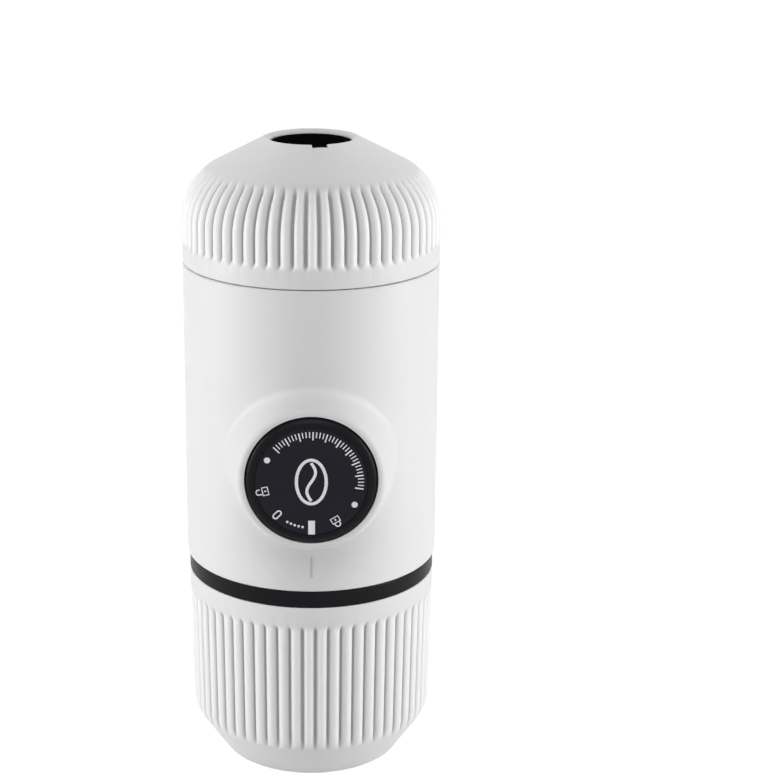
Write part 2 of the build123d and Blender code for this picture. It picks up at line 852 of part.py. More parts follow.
with BuildPart() as piston_cap:
    add(
        turned_on_pump(
            [
                (cap_face, plate_pocket, 0),
                (cap_face, cap_radius - cap_bevel_width, cap_face_round),
                (cap_face + cap_bevel_depth, cap_radius, cap_side_round),
                (cap_rear_face, cap_radius, fine_edge),
                (cap_rear_face, skirt_radius, 0),
                (skirt_back, skirt_radius, edge),
                (skirt_back, skirt_radius - skirt_wall, edge),
                (cap_back_face, skirt_radius - skirt_wall, soft_edge),
                (cap_back_face, cap_boss_radius, 0),
                (flange_front, cap_boss_radius, fine_edge),
                (flange_front, shank_hole, 0),
                (pocket_back, shank_hole, 0),
                (pocket_back, head_pocket, 0),
                (plate_back, head_pocket, 0),
                (plate_back, plate_pocket, 0),
            ]
        )
    )
    for side in (0, 180):
        add(
            ring_sector(
                skirt_radius - skirt_wall / 2,
                guide_bore + lug_height - lug_clearance,
                side - lug_width / 2,
                lug_width,
                skirt_back - lug_length,
                skirt_back - edge,
            )
        )
save(piston_cap, "piston_cap")

with BuildPart() as cap_plate:
    add(
        turned_on_pump(
            [
                (cap_face, 0, 0),
                (cap_face, plate_radius, fine_edge),
                (plate_back, plate_radius, 0),
                (plate_back, 0, 0),
            ]
        )
    )
save(cap_plate, "cap_plate")

drive_radius = 1.2
drive_bottom = plate_back + 1.2

with BuildPart() as cap_screw:
    add(
        turned_on_pump(
            [
                (plate_back + edge, drive_radius, 0),
                (plate_back + edge, cap_screw_head, edge),
                (pocket_back - press_fit, cap_screw_head, 0),
                (pocket_back - press_fit, cap_screw_radius, 0),
                (flange_front + cap_screw_length, cap_screw_radius, edge),
                (flange_front + cap_screw_length, 0, 0),
                (drive_bottom, 0, 0),
                (drive_bottom, drive_radius, 0),
            ]
        )
    )
save(cap_screw, "cap_screw")

# ================================================================ coffee well
screen_radius = well_radius - edge

with BuildPart() as shower_screen:
    add(
        perforated_disc(
            screen_radius,
            ledge_height,
            screen_thickness,
            screw_hole + slip_fit,
            screen_rings,
            screen_screw_head + 1.6,
        )
    )
save(shower_screen, "shower_screen")

screen_screw_tip = well_floor - post_screw_depth + 0.5
screen_screw_top = screen_top + screen_screw_head_height

with BuildPart() as screen_screw:
    add(
        turned(
            [
                (0, screen_screw_tip, 0),
                (screw_radius, screen_screw_tip, fine_edge),
                (screw_radius, screen_top, 0),
                (screen_screw_head, screen_top, 0),
                (screen_screw_head, screen_screw_top, edge),
                (0, screen_screw_top, 0),
            ]
        )
    )
    with BuildSketch(Plane.XY.offset(screen_screw_top)):
        Rectangle(3.6, 0.7)
    extrude(amount=-screen_screw_head_height / 2, mode=Mode.SUBTRACT)
save(screen_screw, "screen_screw")

with BuildPart() as basket_gasket:
    add(
        ring(
            basket_radius - basket_wall + slip_fit,
            well_radius - 2 * slip_fit,
            screen_top,
            basket_gasket_height,
        )
    )
save(basket_gasket, "basket_gasket")

# The basket stands mouth down; its sieve faces the outlet.
sieve_radius = basket_radius - basket_wall

with BuildPart() as filter_basket:
    add(
        turned(
            [
                (sieve_radius, basket_bottom, 0),
                (well_radius - basket_flange_gap, basket_bottom, edge),
                (well_radius - basket_flange_gap, basket_bottom + basket_flange_height, edge),
                (basket_radius, basket_bottom + basket_flange_height, edge),
                (basket_radius, basket_top, round_edge),
                (0, basket_top, 0),
                (0, basket_top - basket_wall, 0),
                (sieve_radius, basket_top - basket_wall, soft_edge),
            ]
        )
    )
    with BuildSketch(Plane.XY.offset(basket_top)):
        for step in range(screen_rings + 1):
            with PolarLocations(sieve_pitch * (step + 0.5), 6 * step + 3):
                Circle(sieve_hole_radius)
    extrude(amount=-2 * basket_wall, mode=Mode.SUBTRACT)
save(filter_basket, "filter_basket")

# The scoop is stored in the basket, mouth up; its flat underside is the tamper.
scoop_bottom = screen_screw_top + edge

with BuildPart() as scoop:
    add(
        turned(
            [
                (0, scoop_bottom, 0),
                (scoop_radius, scoop_bottom, soft_edge),
                (scoop_radius, scoop_bottom + scoop_height, soft_edge),
                (scoop_radius - scoop_wall, scoop_bottom + scoop_height, soft_edge),
                (scoop_radius - scoop_wall, scoop_bottom + scoop_wall, round_edge),
                (0, scoop_bottom + scoop_wall, 0),
            ]
        )
    )
save(scoop, "scoop")

# ================================================================ outlet head
gasket_outer = basket_radius + 0.7    # laps the basket's rim

with BuildPart() as head_gasket:
    add(ring(gasket_outer - head_gasket_width, gasket_outer, basket_top, head_gasket_height))
save(head_gasket, "head_gasket")

with BuildPart() as outlet_screen:
    add(
        perforated_disc(
            gasket_outer - soft_edge,
            outlet_screen_bottom,
            outlet_screen_thickness,
            0,
            screen_rings,
            sieve_pitch,
        )
    )
save(outlet_screen, "outlet_screen")

key_reach = cover_rim_radius + key_overhang
throat_top = overall_height - throat_recess
spout_top = overall_height - spout_recess
throat_bore = throat_radius - throat_wall
rib_sink = 0.4
rib_bottom = body_top + hood_gap + inner_round
rib_top = body_top + cover_shoulder_rise - 1.0

# Inner hood with the screw socket, a roof over the basket and the dark throat in the cover's hole.
with BuildPart() as outlet_body:
    add(
        turned(
            [
                (head_bore, body_top + hood_gap, 0),
                (head_skirt_radius, body_top + hood_gap, edge),
                (head_skirt_radius, roof_top, inner_round),
                (throat_radius, roof_top, round_edge),
                (throat_radius, throat_top, edge),
                (throat_bore, throat_top, edge),
                (throat_bore, roof_top, soft_edge),
                (duct_radius, roof_top, 0),
                (duct_radius, roof_bottom, 0),
                (head_bore, roof_bottom, soft_edge),
            ]
        )
    )
    add(thread_ridges(head_bore, -1, body_top + head_thread_start + thread_pitch / 2))
    # ribs that centre the hood in the cover
    with BuildSketch(Plane.XY.offset(rib_bottom)):
        with PolarLocations((head_skirt_radius - rib_sink + shell_bore - slip_fit) / 2, rib_count):
            Rectangle(shell_bore - slip_fit - head_skirt_radius + rib_sink, rib_thickness)
    extrude(amount=rib_top - rib_bottom)
    # locating key that shows in the rim's notch
    with BuildSketch(Plane.XY.offset(throat_top - key_depth)):
        with PolarLocations((throat_radius - rib_sink + key_reach) / 2, 1, start_angle=key_angle):
            Rectangle(key_reach - throat_radius + rib_sink, key_width)
    extrude(amount=key_depth + key_rise)
save(outlet_body, "outlet_body")

with BuildPart() as crema_valve:
    add(
        turned(
            [
                (0, roof_top, 0),
                (crema_valve_radius, roof_top, 0),
                (crema_valve_radius, roof_top + crema_valve_height, edge),
                (0, roof_top + crema_valve_height, 0),
            ]
        )
    )
    with BuildSketch(Plane.XY.offset(roof_top)):
        Rectangle(2 * duct_radius, crema_slit)
    extrude(amount=crema_valve_height, mode=Mode.SUBTRACT)
save(crema_valve, "crema_valve")

spout_pocket = crema_valve_radius + 0.2
spout_base_top = roof_top + crema_valve_height + 1.5
spout_neck = roof_top + crema_valve_height + 4.0
vane_sink = 0.4
vane_reach = throat_bore - slip_fit
vane_thickness = 1.0
vane_bottom = spout_neck + 1.0
vane_top = spout_top - 1.0

with BuildPart() as spout:
    add(
        turned(
            [
                (spout_pocket, roof_top, 0),
                (spout_base_radius, roof_top, 0),
                (spout_base_radius, spout_base_top, soft_edge),
                (spout_tip_radius, spout_neck, inner_round),
                (spout_tip_radius, spout_top, soft_edge),
                (spout_bore, spout_top, edge),
                (spout_bore, roof_top + crema_valve_height, 0),
                (spout_pocket, roof_top + crema_valve_height, 0),
            ]
        )
    )
    # four thin vanes steady the tube in the throat
    with BuildSketch(Plane.XY.offset(vane_bottom)):
        with PolarLocations((spout_tip_radius - vane_sink + vane_reach) / 2, 4, start_angle=45):
            Rectangle(vane_reach - spout_tip_radius + vane_sink, vane_thickness)
    extrude(amount=vane_top - vane_bottom)
save(spout, "spout")

# Fluted outer dome. The skin's outline runs up the wall, round the shoulder and along the cone to the rim.
cover_bottom = body_top + parting_gap
shoulder_height = body_top + cover_shoulder_rise
shoulder_turn = 90 - cover_slope
shoulder_centre = (body_radius - cover_shoulder_round, shoulder_height)
inner_shoulder_round = cover_shoulder_round - shell_wall

flute_skin = flute_depth - flute_radius
crest_radius = cover_rim_radius - rim_crest
hole_corner = (outlet_hole_radius, overall_height - rim_drop)
crest_corner = (crest_radius, overall_height)
rim_corner = (cover_rim_radius, overall_height)
parting_corner = (body_radius, cover_bottom)

with BuildPart() as cover_flute:
    with BuildLine(Plane.XZ) as flute_path:
        rise = Line(
            (body_radius - flute_skin, body_top + cover_flute_start),
            (body_radius - flute_skin, shoulder_height),
        )
        bend = CenterArc(shoulder_centre, cover_shoulder_round - flute_skin, 0, shoulder_turn)
    with BuildSketch(Plane(origin=rise @ 0, z_dir=(0, 0, 1))):
        Circle(flute_radius)
    sweep()
    with Locations(rise @ 0, bend @ 1):
        Sphere(flute_radius)

with BuildPart() as cover_flutes:
    with PolarLocations(0, cover_flute_count, start_angle=cover_flute_phase):
        add(cover_flute.part)

with BuildPart() as outlet_cover:
    with BuildSketch(Plane.XZ) as cover_outline:
        with BuildLine():
            outer_wall = Line((body_radius, cover_bottom), (body_radius, shoulder_height))
            outer_bend = CenterArc(shoulder_centre, cover_shoulder_round, 0, shoulder_turn)
            outer_cone = Line(outer_bend @ 1, (cover_rim_radius, overall_height))
            crest = Line(outer_cone @ 1, crest_corner)
            bevel = Line(crest @ 1, hole_corner)
            hole = Line(bevel @ 1, (outlet_hole_radius, cone_height(outlet_hole_radius, shell_wall)))
            Line(hole @ 1, shoulder_end(shell_wall))
            inner_bend = CenterArc(shoulder_centre, inner_shoulder_round, shoulder_turn, -shoulder_turn)
            inner_wall = Line(inner_bend @ 1, (shell_bore, cover_bottom))
            Line(inner_wall @ 1, outer_wall @ 0)
        make_face()
        fillet(cover_outline.vertices().sort_by_distance(hole_corner)[0], rim_inner_round)
        fillet(cover_outline.vertices().sort_by_distance(crest_corner)[0], rim_inner_round)
        fillet(cover_outline.vertices().sort_by_distance(rim_corner)[0], rim_outer_round)
        chamfer(cover_outline.vertices().sort_by_distance(parting_corner)[0], parting_chamfer)
    revolve(axis=Axis.Z)
    add(cover_flutes.part, mode=Mode.SUBTRACT)
    with BuildSketch(Plane.XY.offset(throat_top - key_depth - key_clearance)):
        with PolarLocations((key_reach + key_clearance) / 2, 1, start_angle=key_angle):
            Rectangle(key_reach + key_clearance, key_width + 2 * key_clearance)
    extrude(until=Until.LAST, mode=Mode.SUBTRACT)
save(outlet_cover, "outlet_cover")

# ================================================================ tank-side valves and filter
with BuildPart() as vent_valve:
    with BuildSketch(Plane.XY.offset(lower_deck_top)):
        with Locations(vent_spot):
            Circle(vent_stem_radius + vent_flange)
    extrude(amount=vent_flange_thickness)
    with BuildSketch(Plane.XY.offset(socket_ceiling)):
        with Locations(vent_spot):
            Circle(vent_stem_radius)
    extrude(amount=deck_thickness)
    with BuildSketch(Plane.XY.offset(socket_ceiling)) as bill_root:
        with Locations(vent_spot):
            Rectangle(vent_bill_width, 2.6)
    with BuildSketch(Plane.XY.offset(socket_ceiling - vent_bill_length)) as bill_tip:
        with Locations(vent_spot):
            Rectangle(vent_bill_width, 0.6)
    loft()
save(vent_valve, "vent_valve")

intake_radius = tank_bore - tower_offset - soft_edge

with BuildPart() as intake_filter:
    with BuildSketch(Plane.XY.offset(socket_ceiling - filter_thickness)):
        with Locations(tower_spot):
            Circle(intake_radius)
            Circle(filter_hole_radius, mode=Mode.SUBTRACT)
            for step in (1, 2):
                with PolarLocations(filter_pitch * step, 6 * step):
                    Circle(filter_hole_radius, mode=Mode.SUBTRACT)
    extrude(amount=filter_thickness)
save(intake_filter, "intake_filter")

print(f"overall {2 * body_radius:.1f} wide, {body_radius - cap_face:.1f} deep, {overall_height:.2f} high")
print(f"thread lead {thread_lead:.2f}, pump height {pump_height:.2f}")
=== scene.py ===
import math

import bmesh
import bpy
from mathutils import Matrix, Vector


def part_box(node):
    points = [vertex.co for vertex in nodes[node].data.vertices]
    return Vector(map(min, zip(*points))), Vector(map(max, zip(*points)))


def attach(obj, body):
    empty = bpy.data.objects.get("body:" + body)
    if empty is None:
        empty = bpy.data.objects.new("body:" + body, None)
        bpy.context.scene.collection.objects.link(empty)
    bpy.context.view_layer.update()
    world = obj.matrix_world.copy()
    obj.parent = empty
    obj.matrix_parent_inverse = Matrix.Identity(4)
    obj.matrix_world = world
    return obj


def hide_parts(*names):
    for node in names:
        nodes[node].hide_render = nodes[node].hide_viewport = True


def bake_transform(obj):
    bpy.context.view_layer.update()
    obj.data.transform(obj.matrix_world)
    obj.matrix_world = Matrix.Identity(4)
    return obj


# Pocket espresso maker with a hand pump: white fluted cover and cup, black piston cap and collar.
# Outlines and places are in millimetres and made metres as each mesh is finished.

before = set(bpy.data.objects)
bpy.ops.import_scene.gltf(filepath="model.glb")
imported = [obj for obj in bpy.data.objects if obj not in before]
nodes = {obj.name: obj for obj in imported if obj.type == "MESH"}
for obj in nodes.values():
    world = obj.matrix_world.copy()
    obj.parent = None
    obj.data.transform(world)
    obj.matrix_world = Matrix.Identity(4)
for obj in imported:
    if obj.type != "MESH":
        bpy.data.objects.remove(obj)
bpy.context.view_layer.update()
mm = 0.001

overall = {
    "bodyRadius": 31.0,
    "partingLine": 126.35,    # between the body and the outlet cover
    "pumpHeight": 83.7,       # of the pump's axis, which runs to the front
    "mergeDistance": 0.0005,
    "sharpAngle": 40,         # edges that turn more than this are left sharp
    "edgeRound": 0.5,         # largest round that is stepped as an edge
    "arcSteps": {"fine": 3, "plain": 12, "edge": 20},  # degrees from point to point
}
print("frame loaded:", len(nodes), "nodes")


def addRound(bm, corner, before, after, rounding, arcStep):
    # a corner of an outline as an arc, spun from the tangent point on one side to the other
    toBefore = (before - corner).normalized()
    toAfter = (after - corner).normalized()
    half = toBefore.angle(toAfter) / 2
    reach = rounding / math.tan(half)
    centre = corner + (toBefore + toAfter).normalized() * (rounding / math.sin(half))
    first = bm.verts.new(corner + toBefore * reach)
    turn = math.pi - 2 * half
    axis = (first.co - centre).cross(corner + toAfter * reach - centre).normalized()
    steps = max(2, math.ceil(math.degrees(turn) / arcStep))
    swept = bmesh.ops.spin(bm, geom=[first], cent=centre, axis=axis, angle=turn, steps=steps)
    last = [v for v in swept["geom_last"] if isinstance(v, bmesh.types.BMVert)][0]
    return first, last


def drawOutline(corners, fineRound=math.inf):
    # outline in the XZ plane from (radius, height, corner round); it stays open where it meets the axis
    # rounds of fineRound and more are stepped finely
    bm = bmesh.new()
    points = [Vector((r, 0, z)) for r, z, _ in corners]
    ends = []
    for i, (_, _, rounding) in enumerate(corners):
        if rounding:
            kind = "fine" if rounding >= fineRound else "plain" if rounding > overall["edgeRound"] else "edge"
            after = points[(i + 1) % len(points)]
            ends.append(addRound(bm, points[i], points[i - 1], after, rounding, overall["arcSteps"][kind]))
        else:
            v = bm.verts.new(points[i])
            ends.append((v, v))
    for i, (_, last) in enumerate(ends):
        first = ends[(i + 1) % len(ends)][0]
        if last.co.x > 0 or first.co.x > 0:
            bm.edges.new((last, first))
    return bm


def addRows(bm, heights, leastRadius):
    # cut an outline's outer side at more heights, for flutes to start, run and fade along
    for height in heights:
        outer = [edge for edge in bm.edges if min(v.co.x for v in edge.verts) >= leastRadius]
        geom = list({v for edge in outer for v in edge.verts}) + outer
        bmesh.ops.bisect_plane(bm, geom=geom, plane_co=(0, 0, height), plane_no=(0, 0, 1))


def turnOnLathe(bm, steps, startAngle=0.0, repeats=1):
    # one part of the turn is spun and then copied round, which is much quicker than one long spin
    turn = Matrix.Rotation(math.radians(startAngle), 3, "Z")
    bmesh.ops.rotate(bm, verts=bm.verts, cent=(0, 0, 0), matrix=turn)
    axis = {"cent": (0, 0, 0), "axis": (0, 0, 1)}
    share = 2 * math.pi / repeats
    bmesh.ops.spin(bm, geom=bm.verts[:] + bm.edges[:], angle=share, steps=steps, **axis)
    if repeats > 1:
        part = bm.verts[:] + bm.edges[:] + bm.faces[:]
        bmesh.ops.spin(
            bm, geom=part, angle=2 * math.pi - share, steps=repeats - 1, use_duplicate=True, **axis
        )
    bmesh.ops.remove_doubles(bm, verts=bm.verts, dist=overall["mergeDistance"])
    bmesh.ops.recalc_face_normals(bm, faces=bm.faces)


def layOnPump(bm):
    # from the lathe's upright axis to the pump's, which points to the front
    bmesh.ops.rotate(bm, verts=bm.verts, cent=(0, 0, 0), matrix=Matrix.Rotation(math.pi / 2, 3, "X"))
    bmesh.ops.translate(bm, verts=bm.verts, vec=(0, 0, overall["pumpHeight"]))


def finishPiece(bm, name, body, material, replaced=(), sharpAngle=overall["sharpAngle"]):
    bmesh.ops.scale(bm, verts=bm.verts, vec=(mm, mm, mm))
    mesh = bpy.data.meshes.new(name)
    bm.to_mesh(mesh)
    bm.free()
    mesh.shade_smooth()
    mesh.set_sharp_from_angle(angle=math.radians(sharpAngle))
    mesh.materials.append(material)
    piece = bpy.data.objects.new(name, mesh)
    bpy.context.scene.collection.objects.link(piece)
    if body:
        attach(piece, body)
    if replaced:
        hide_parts(*replaced)
    print("made", name, len(mesh.polygons), "faces")
    return piece


def cutWith(piece, cutter, sharpAngle):
    # take a cutter's shape out of a finished piece, and keep the result as its mesh
    bmesh.ops.scale(cutter, verts=cutter.verts, vec=(mm, mm, mm))
    mesh = bpy.data.meshes.new("cutter")
    cutter.to_mesh(mesh)
    cutter.free()
    tool = bpy.data.objects.new("cutter", mesh)
    bpy.context.scene.collection.objects.link(tool)
    boolean = piece.modifiers.new("notch", "BOOLEAN")
    boolean.operation = "DIFFERENCE"
    boolean.solver = "EXACT"
    boolean.object = tool
    bpy.context.view_layer.update()
    cut = bpy.data.meshes.new_from_object(piece.evaluated_get(bpy.context.evaluated_depsgraph_get()))
    piece.modifiers.remove(boolean)
    piece.data = cut
    bpy.data.objects.remove(tool)
    cut.set_sharp_from_angle(angle=math.radians(sharpAngle))


def smoothStep(low, high, value):
    t = min(1.0, max(0.0, (value - low) / (high - low)))
    return t * t * (3 - 2 * t)


def newGroup(name, inputs, outputs):
    # a shader group that several finishes share
    group = bpy.data.node_groups.new(name, "ShaderNodeTree")
    for label, kind, value in inputs:
        item = group.interface.new_socket(name=label, in_out="INPUT", socket_type=kind)
        if value is not None:
            item.default_value = value
    for label, kind in outputs:
        group.interface.new_socket(name=label, in_out="OUTPUT", socket_type=kind)
    entry = group.nodes.new("NodeGroupInput")
    leave = group.nodes.new("NodeGroupOutput")
    return group, entry, leave


def addMath(tree, operation, *values, clamp=False):
    node = tree.nodes.new("ShaderNodeMath")
    node.operation = operation
    node.use_clamp = clamp
    for i, value in enumerate(values):
        if isinstance(value, (int, float)):
            node.inputs[i].default_value = value
        else:
            tree.links.new(value, node.inputs[i])
    return node.outputs[0]


def addNoise(tree, vector, scale, detail=2.0, roughness=0.5):
    node = tree.nodes.new("ShaderNodeTexNoise")
    node.inputs["Detail"].default_value = detail
    node.inputs["Roughness"].default_value = roughness
    tree.links.new(vector, node.inputs["Vector"])
    if isinstance(scale, (int, float)):
        node.inputs["Scale"].default_value = scale
    else:
        tree.links.new(scale, node.inputs["Scale"])
    return node.outputs["Fac"]


def buildMouldGrain():
    # fine spark-eroded texture of a moulding, with broad patches handled a little smoother
    group, entry, leave = newGroup(
        "mouldGrain",
        [
            ("Vector", "NodeSocketVector", None),
            ("Grain Scale", "NodeSocketFloat", 2600.0),
            ("Patch Scale", "NodeSocketFloat", 55.0),
            ("Roughness", "NodeSocketFloat", 0.4),
            ("Spread", "NodeSocketFloat", 0.08),
        ],
        [("Height", "NodeSocketFloat"), ("Roughness", "NodeSocketFloat"), ("Patch", "NodeSocketFloat")],
    )
    fine = addNoise(group, entry.outputs["Vector"], entry.outputs["Grain Scale"], 3.0, 0.6)
    patch = addNoise(group, entry.outputs["Vector"], entry.outputs["Patch Scale"], 3.0, 0.55)
    centred = addMath(group, "SUBTRACT", patch, 0.5)
    spread = addMath(group, "MULTIPLY", centred, entry.outputs["Spread"])
    twice = addMath(group, "MULTIPLY", spread, 2.0)
    rough = addMath(group, "ADD", entry.outputs["Roughness"], twice, clamp=True)
    group.links.new(fine, leave.inputs["Height"])
    group.links.new(rough, leave.inputs["Roughness"])
    group.links.new(patch, leave.inputs["Patch"])
    return group


def buildWornEdge():
    # a mask along convex edges, broken up as handling leaves it
    group, entry, leave = newGroup(
        "wornEdge",
        [
            ("Vector", "NodeSocketVector", None),
            ("Break Scale", "NodeSocketFloat", 400.0),
            ("Amount", "NodeSocketFloat", 0.5),
        ],
        [("Mask", "NodeSocketFloat")],
    )
    flatPointiness = 0.51     # faces flatter than this aren't worn
    edgeGain = 14.0
    breakGain = 1.3
    geometry = group.nodes.new("ShaderNodeNewGeometry")
    over = addMath(group, "SUBTRACT", geometry.outputs["Pointiness"], flatPointiness)
    steep = addMath(group, "MULTIPLY", over, edgeGain, clamp=True)
    broken = addNoise(group, entry.outputs["Vector"], entry.outputs["Break Scale"], 4.0, 0.65)
    lifted = addMath(group, "MULTIPLY", broken, breakGain, clamp=True)
    worn = addMath(group, "MULTIPLY", steep, lifted)
    mask = addMath(group, "MULTIPLY", worn, entry.outputs["Amount"], clamp=True)
    group.links.new(mask, leave.inputs["Mask"])
    return group


def buildTurnedMetal():
    # fine rings that a lathe or a polishing wheel leaves about the Z axis of the mapped space
    group, entry, leave = newGroup(
        "turnedMetal",
        [
            ("Vector", "NodeSocketVector", None),
            ("Ring Scale", "NodeSocketFloat", 6000.0),
            ("Roughness", "NodeSocketFloat", 0.25),
            ("Spread", "NodeSocketFloat", 0.12),
        ],
        [("Height", "NodeSocketFloat"), ("Roughness", "NodeSocketFloat")],
    )
    split = group.nodes.new("ShaderNodeSeparateXYZ")
    group.links.new(entry.outputs["Vector"], split.inputs[0])
    xx = addMath(group, "MULTIPLY", split.outputs["X"], split.outputs["X"])
    yy = addMath(group, "MULTIPLY", split.outputs["Y"], split.outputs["Y"])
    radius = addMath(group, "SQRT", addMath(group, "ADD", xx, yy))
    join = group.nodes.new("ShaderNodeCombineXYZ")
    group.links.new(radius, join.inputs["X"])
    group.links.new(split.outputs["Z"], join.inputs["Y"])
    rings = addNoise(group, join.outputs[0], entry.outputs["Ring Scale"], 3.0, 0.6)
    centred = addMath(group, "SUBTRACT", rings, 0.5)
    spread = addMath(group, "MULTIPLY", centred, entry.outputs["Spread"])
    twice = addMath(group, "MULTIPLY", spread, 2.0)
    rough = addMath(group, "ADD", entry.outputs["Roughness"], twice, clamp=True)
    group.links.new(rings, leave.inputs["Height"])
    group.links.new(rough, leave.inputs["Roughness"])
    return group


mouldGrain = buildMouldGrain()
wornEdge = buildWornEdge()
turnedMetal = buildTurnedMetal()


def startMaterial(name, plain):
    # a Principled material whose even values are set on its own sockets
    material = bpy.data.materials.new(name)
    material.use_nodes = True
    tree = material.node_tree
    shader = tree.nodes["Principled BSDF"]
    for label, value in plain.items():
        shader.inputs[label].default_value = value
    place = tree.nodes.new("ShaderNodeTexCoord").outputs["Object"]
    return material, tree, shader, place


def addGroup(tree, group, place, values):
    node = tree.nodes.new("ShaderNodeGroup")
    node.node_tree = group
    tree.links.new(place, node.inputs["Vector"])
    for label, value in values.items():
        node.inputs[label].default_value = value
    return node


def addBump(tree, shader, height, strength, distance):
    bump = tree.nodes.new("ShaderNodeBump")
    bump.inputs["Strength"].default_value = strength
    bump.inputs["Distance"].default_value = distance
    tree.links.new(height, bump.inputs["Height"])
    tree.links.new(bump.outputs["Normal"], shader.inputs["Normal"])


def addColourMix(tree, factor, first, second):
    mix = tree.nodes.new("ShaderNodeMix")
    mix.data_type = "RGBA"
    tree.links.new(factor, mix.inputs["Factor"])
    for label, value in (("A", first), ("B", second)):
        socket = [s for s in mix.inputs if s.name == label and s.type == "RGBA"][0]
        if isinstance(value, tuple):
            socket.default_value = (*value, 1)
        else:
            tree.links.new(value, socket)
    return [s for s in mix.outputs if s.type == "RGBA"][0]


def plasticFinish(name, look):
    material, tree, shader, place = startMaterial(name, look.get("plain", {}))
    grain = addGroup(tree, mouldGrain, place, look["grain"])
    tree.links.new(grain.outputs["Roughness"], shader.inputs["Roughness"])
    addBump(tree, shader, grain.outputs["Height"], look["bump"], look["bumpDepth"])
    worn = addGroup(tree, wornEdge, place, look["worn"])
    patchy = addMath(tree, "MULTIPLY", grain.outputs["Patch"], look["patchy"])
    mask = addMath(tree, "ADD", worn.outputs["Mask"], patchy, clamp=True)
    colour = addColourMix(tree, mask, look["colour"], look["wornColour"])
    if "paintedGrooveShade" in look:
        # painted shade and painted highlight: by the flute mark the groove floors are made darker and the
        # ribs' crests lighter
        mark = tree.nodes.new("ShaderNodeAttribute")
        mark.attribute_name = "flute"
        ribHighlightMask = addMath(tree, "MULTIPLY", mark.outputs["Fac"], -look["ribHighlightGain"], clamp=True)
        grooveShadeMask = addMath(tree, "MULTIPLY", mark.outputs["Fac"], look["grooveShadeGain"], clamp=True)
        colour = addColourMix(tree, ribHighlightMask, colour, look["paintedRibHighlight"])
        colour = addColourMix(tree, grooveShadeMask, colour, look["paintedGrooveShade"])
    tree.links.new(colour, shader.inputs["Base Color"])
    return material


def metalFinish(name, look, pumpAxis=False):
    material, tree, shader, place = startMaterial(name, {"Metallic": 1.0, **look.get("plain", {})})
    if pumpAxis:
        mapping = tree.nodes.new("ShaderNodeMapping")
        mapping.vector_type = "TEXTURE"
        mapping.inputs["Location"].default_value = (0, 0, overall["pumpHeight"] * mm)
        mapping.inputs["Rotation"].default_value = (math.pi / 2, 0, 0)
        tree.links.new(place, mapping.inputs["Vector"])
        place = mapping.outputs[0]
    rings = addGroup(tree, turnedMetal, place, look["rings"])
    tree.links.new(rings.outputs["Roughness"], shader.inputs["Roughness"])
    addBump(tree, shader, rings.outputs["Height"], look["bump"], look["bumpDepth"])
    tarnish = addNoise(tree, place, look["tarnishScale"], 4.0, 0.6)
    colour = addColourMix(tree, tarnish, look["colour"], look["tarnish"])
    tree.links.new(colour, shader.inputs["Base Color"])
    return material


def smokeFinish(name, look):
    material, tree, shader, place = startMaterial(name, look["plain"])
    grain = addGroup(tree, mouldGrain, place, look["grain"])
    tree.links.new(grain.outputs["Roughness"], shader.inputs["Roughness"])
    addBump(tree, shader, grain.outputs["Height"], look["bump"], look["bumpDepth"])
    return material


